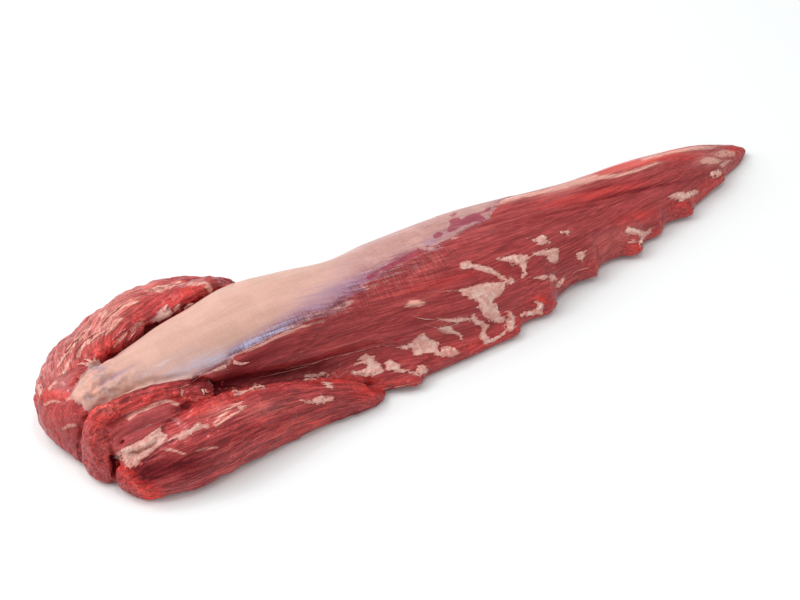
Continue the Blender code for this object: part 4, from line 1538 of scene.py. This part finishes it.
# %% Cut the scraps
# Each scrap's path in the photo's pixels, its width at the root and how far its tip lifts, in millimetres
SCRAPS = (
    (((89, 365), (82, 364), (76, 366)), 3.4, 0.5), (((92, 363), (88, 360), (84, 360)), 2.6, 0.4),
    (((96, 363), (94, 359), (95, 356)), 2.0, 0.3), (((84, 376), (80, 378), (77, 377)), 2.6, 0.3),
    (((164, 312), (165, 308), (168, 305)), 3.0, 0.8), (((174, 311), (177, 306), (180, 304)), 2.6, 0.8),
    (((184, 309), (188, 305), (193, 303)), 2.6, 0.6), (((183, 390), (181, 394), (183, 397)), 2.6, 0.6),
    (((202, 389), (204, 393), (202, 396)), 1.4, 1.2), (((205, 389), (206, 392), (208, 392)), 1.2, 1.2),
    (((233, 362), (241, 364), (249, 362)), 2.6, 0.6), (((226, 366), (219, 369), (212, 371)), 2.6, 0.4),
)
SCRAP_STEPS = 10
# In millimetres
SCRAP_THICKNESS = 0.35
ROOT_LIFT = 0.1
TIP_HALF_WIDTH = 0.15
# How it narrows, by how much its width varies, and how far its sides curl up for their width
TAPER_POWER = 0.6
RAGGED_WIDTHS = (0.75, 1.1)
CUPPED = 0.25

sheet = bmesh.new()
for path, width, lift in SCRAPS:
    run = np.hypot(*np.diff(np.array(path, float), axis=0).T).sum()
    spots = [on_meat(x, y) for x, y in along_path(path, run / SCRAP_STEPS)]
    rows = []
    for number, (spot, normal) in enumerate(spots):
        share = number / (len(spots) - 1)
        ahead = spots[min(number + 1, len(spots) - 1)][0] - spots[max(number - 1, 0)][0]
        sideways = ahead.cross(normal).normalized()
        half = width / 2 * (1 - share) ** TAPER_POWER * generator.uniform(*RAGGED_WIDTHS) + TIP_HALF_WIDTH
        centre = spot + normal * ((ROOT_LIFT + lift * share * share) * MM)
        bend = normal * (CUPPED * half * MM)
        rows.append([
            sheet.verts.new(centre - sideways * (half * MM) + bend),
            sheet.verts.new(centre),
            sheet.verts.new(centre + sideways * (half * MM) + bend),
        ])
    for low, high in zip(rows, rows[1:]):
        for side in (0, 1):
            sheet.faces.new((low[side], low[side + 1], high[side + 1], high[side]))
scrap_mesh = bpy.data.meshes.new("film_scraps")
sheet.to_mesh(scrap_mesh)
sheet.free()
scraps = object_from(scrap_mesh, "film_scraps")
wall = scraps.modifiers.new("wall", "SOLIDIFY")
wall.thickness = SCRAP_THICKNESS * MM
wall.offset = 0
rounded = scraps.modifiers.new("rounded", "SUBSURF")
rounded.levels = rounded.render_levels = 1
scraps.data = plain_mesh(scraps)
scraps.data.materials.append(film_finish)
scraps.data.shade_smooth()
print("film scraps have", len(scraps.data.polygons), "faces")

# %% [markdown]
# ## Floor and light
#
# The meat lies on a plain pale floor in soft studio light. The surround is bright, and one large soft
# lamp above and behind the meat draws the shadow out in front. Two small lamps add little light of their
# own: they are there for the sharp glints that wet meat has.

# %% Lay the floor and set the lights
FLOOR_SIZE = 8.0
FLOOR_DROP = 0.1 * MM
FLOOR_TINT = (0.85, 0.87, 0.87, 1.0)
SURROUND = 0.73
# Place and width in metres, and power in watts
LAMPS = {
    "back_lamp": ((-1.1, 0.75, 1.4), 1.8, 27),
    "glint_lamp": ((-0.1, -0.2, 1.6), 0.16, 2.2),
    "edge_glint_lamp": ((-0.9, 0.9, 1.5), 0.16, 2.2),
}
bpy.ops.mesh.primitive_plane_add(size=FLOOR_SIZE, location=(0, 0, -FLOOR_DROP))
floor = bpy.context.object
floor.name = "floor"
floor_finish = bpy.data.materials.new("floor")
floor_finish.use_nodes = True
floor_shader = floor_finish.node_tree.nodes["Principled BSDF"]
floor_shader.inputs["Base Color"].default_value = FLOOR_TINT
floor_shader.inputs["Roughness"].default_value = 0.9
floor_shader.inputs["Specular IOR Level"].default_value = 0.1
floor.data.materials.append(floor_finish)

world = bpy.data.worlds.new("studio")
bpy.context.scene.world = world
world.use_nodes = True
surround = world.node_tree.nodes["Background"]
surround.inputs["Color"].default_value = (1.0, 1.0, 1.0, 1.0)
surround.inputs["Strength"].default_value = SURROUND


def soft_lamp(name, place, width, power):
    """A square lamp that faces the meat."""
    lamp = bpy.data.lights.new(name, "AREA")
    lamp.size = width
    lamp.energy = power
    made = bpy.data.objects.new(name, lamp)
    made.location = place
    made.rotation_mode = "QUATERNION"
    made.rotation_quaternion = Vector(place).to_track_quat("Z", "Y")
    bpy.context.scene.collection.objects.link(made)


for name, (place, width, power) in LAMPS.items():
    soft_lamp(name, place, width, power)
bpy.context.scene.view_settings.view_transform = "Standard"
print("lamps:", len(bpy.data.lights))

# %% [markdown]
# ## Hand over to the frame
#
# Every piece rides on the frame's one body and stands for the plain solid.

# %% Ride and replace
SLOTS = {
    "meat": "raw_beef",
    "meat_crumbs": "raw_beef",
    "fat_grains": "fat",
    "fat_knobs": "fat",
    "film_strands": "silver_skin",
    "fat_streaks": "silver_skin",
    "film_scraps": "silver_skin",
}
for name, slot in SLOTS.items():
    piece = bpy.data.objects[name]
    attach(piece, "root")
    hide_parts("beef_tenderloin")
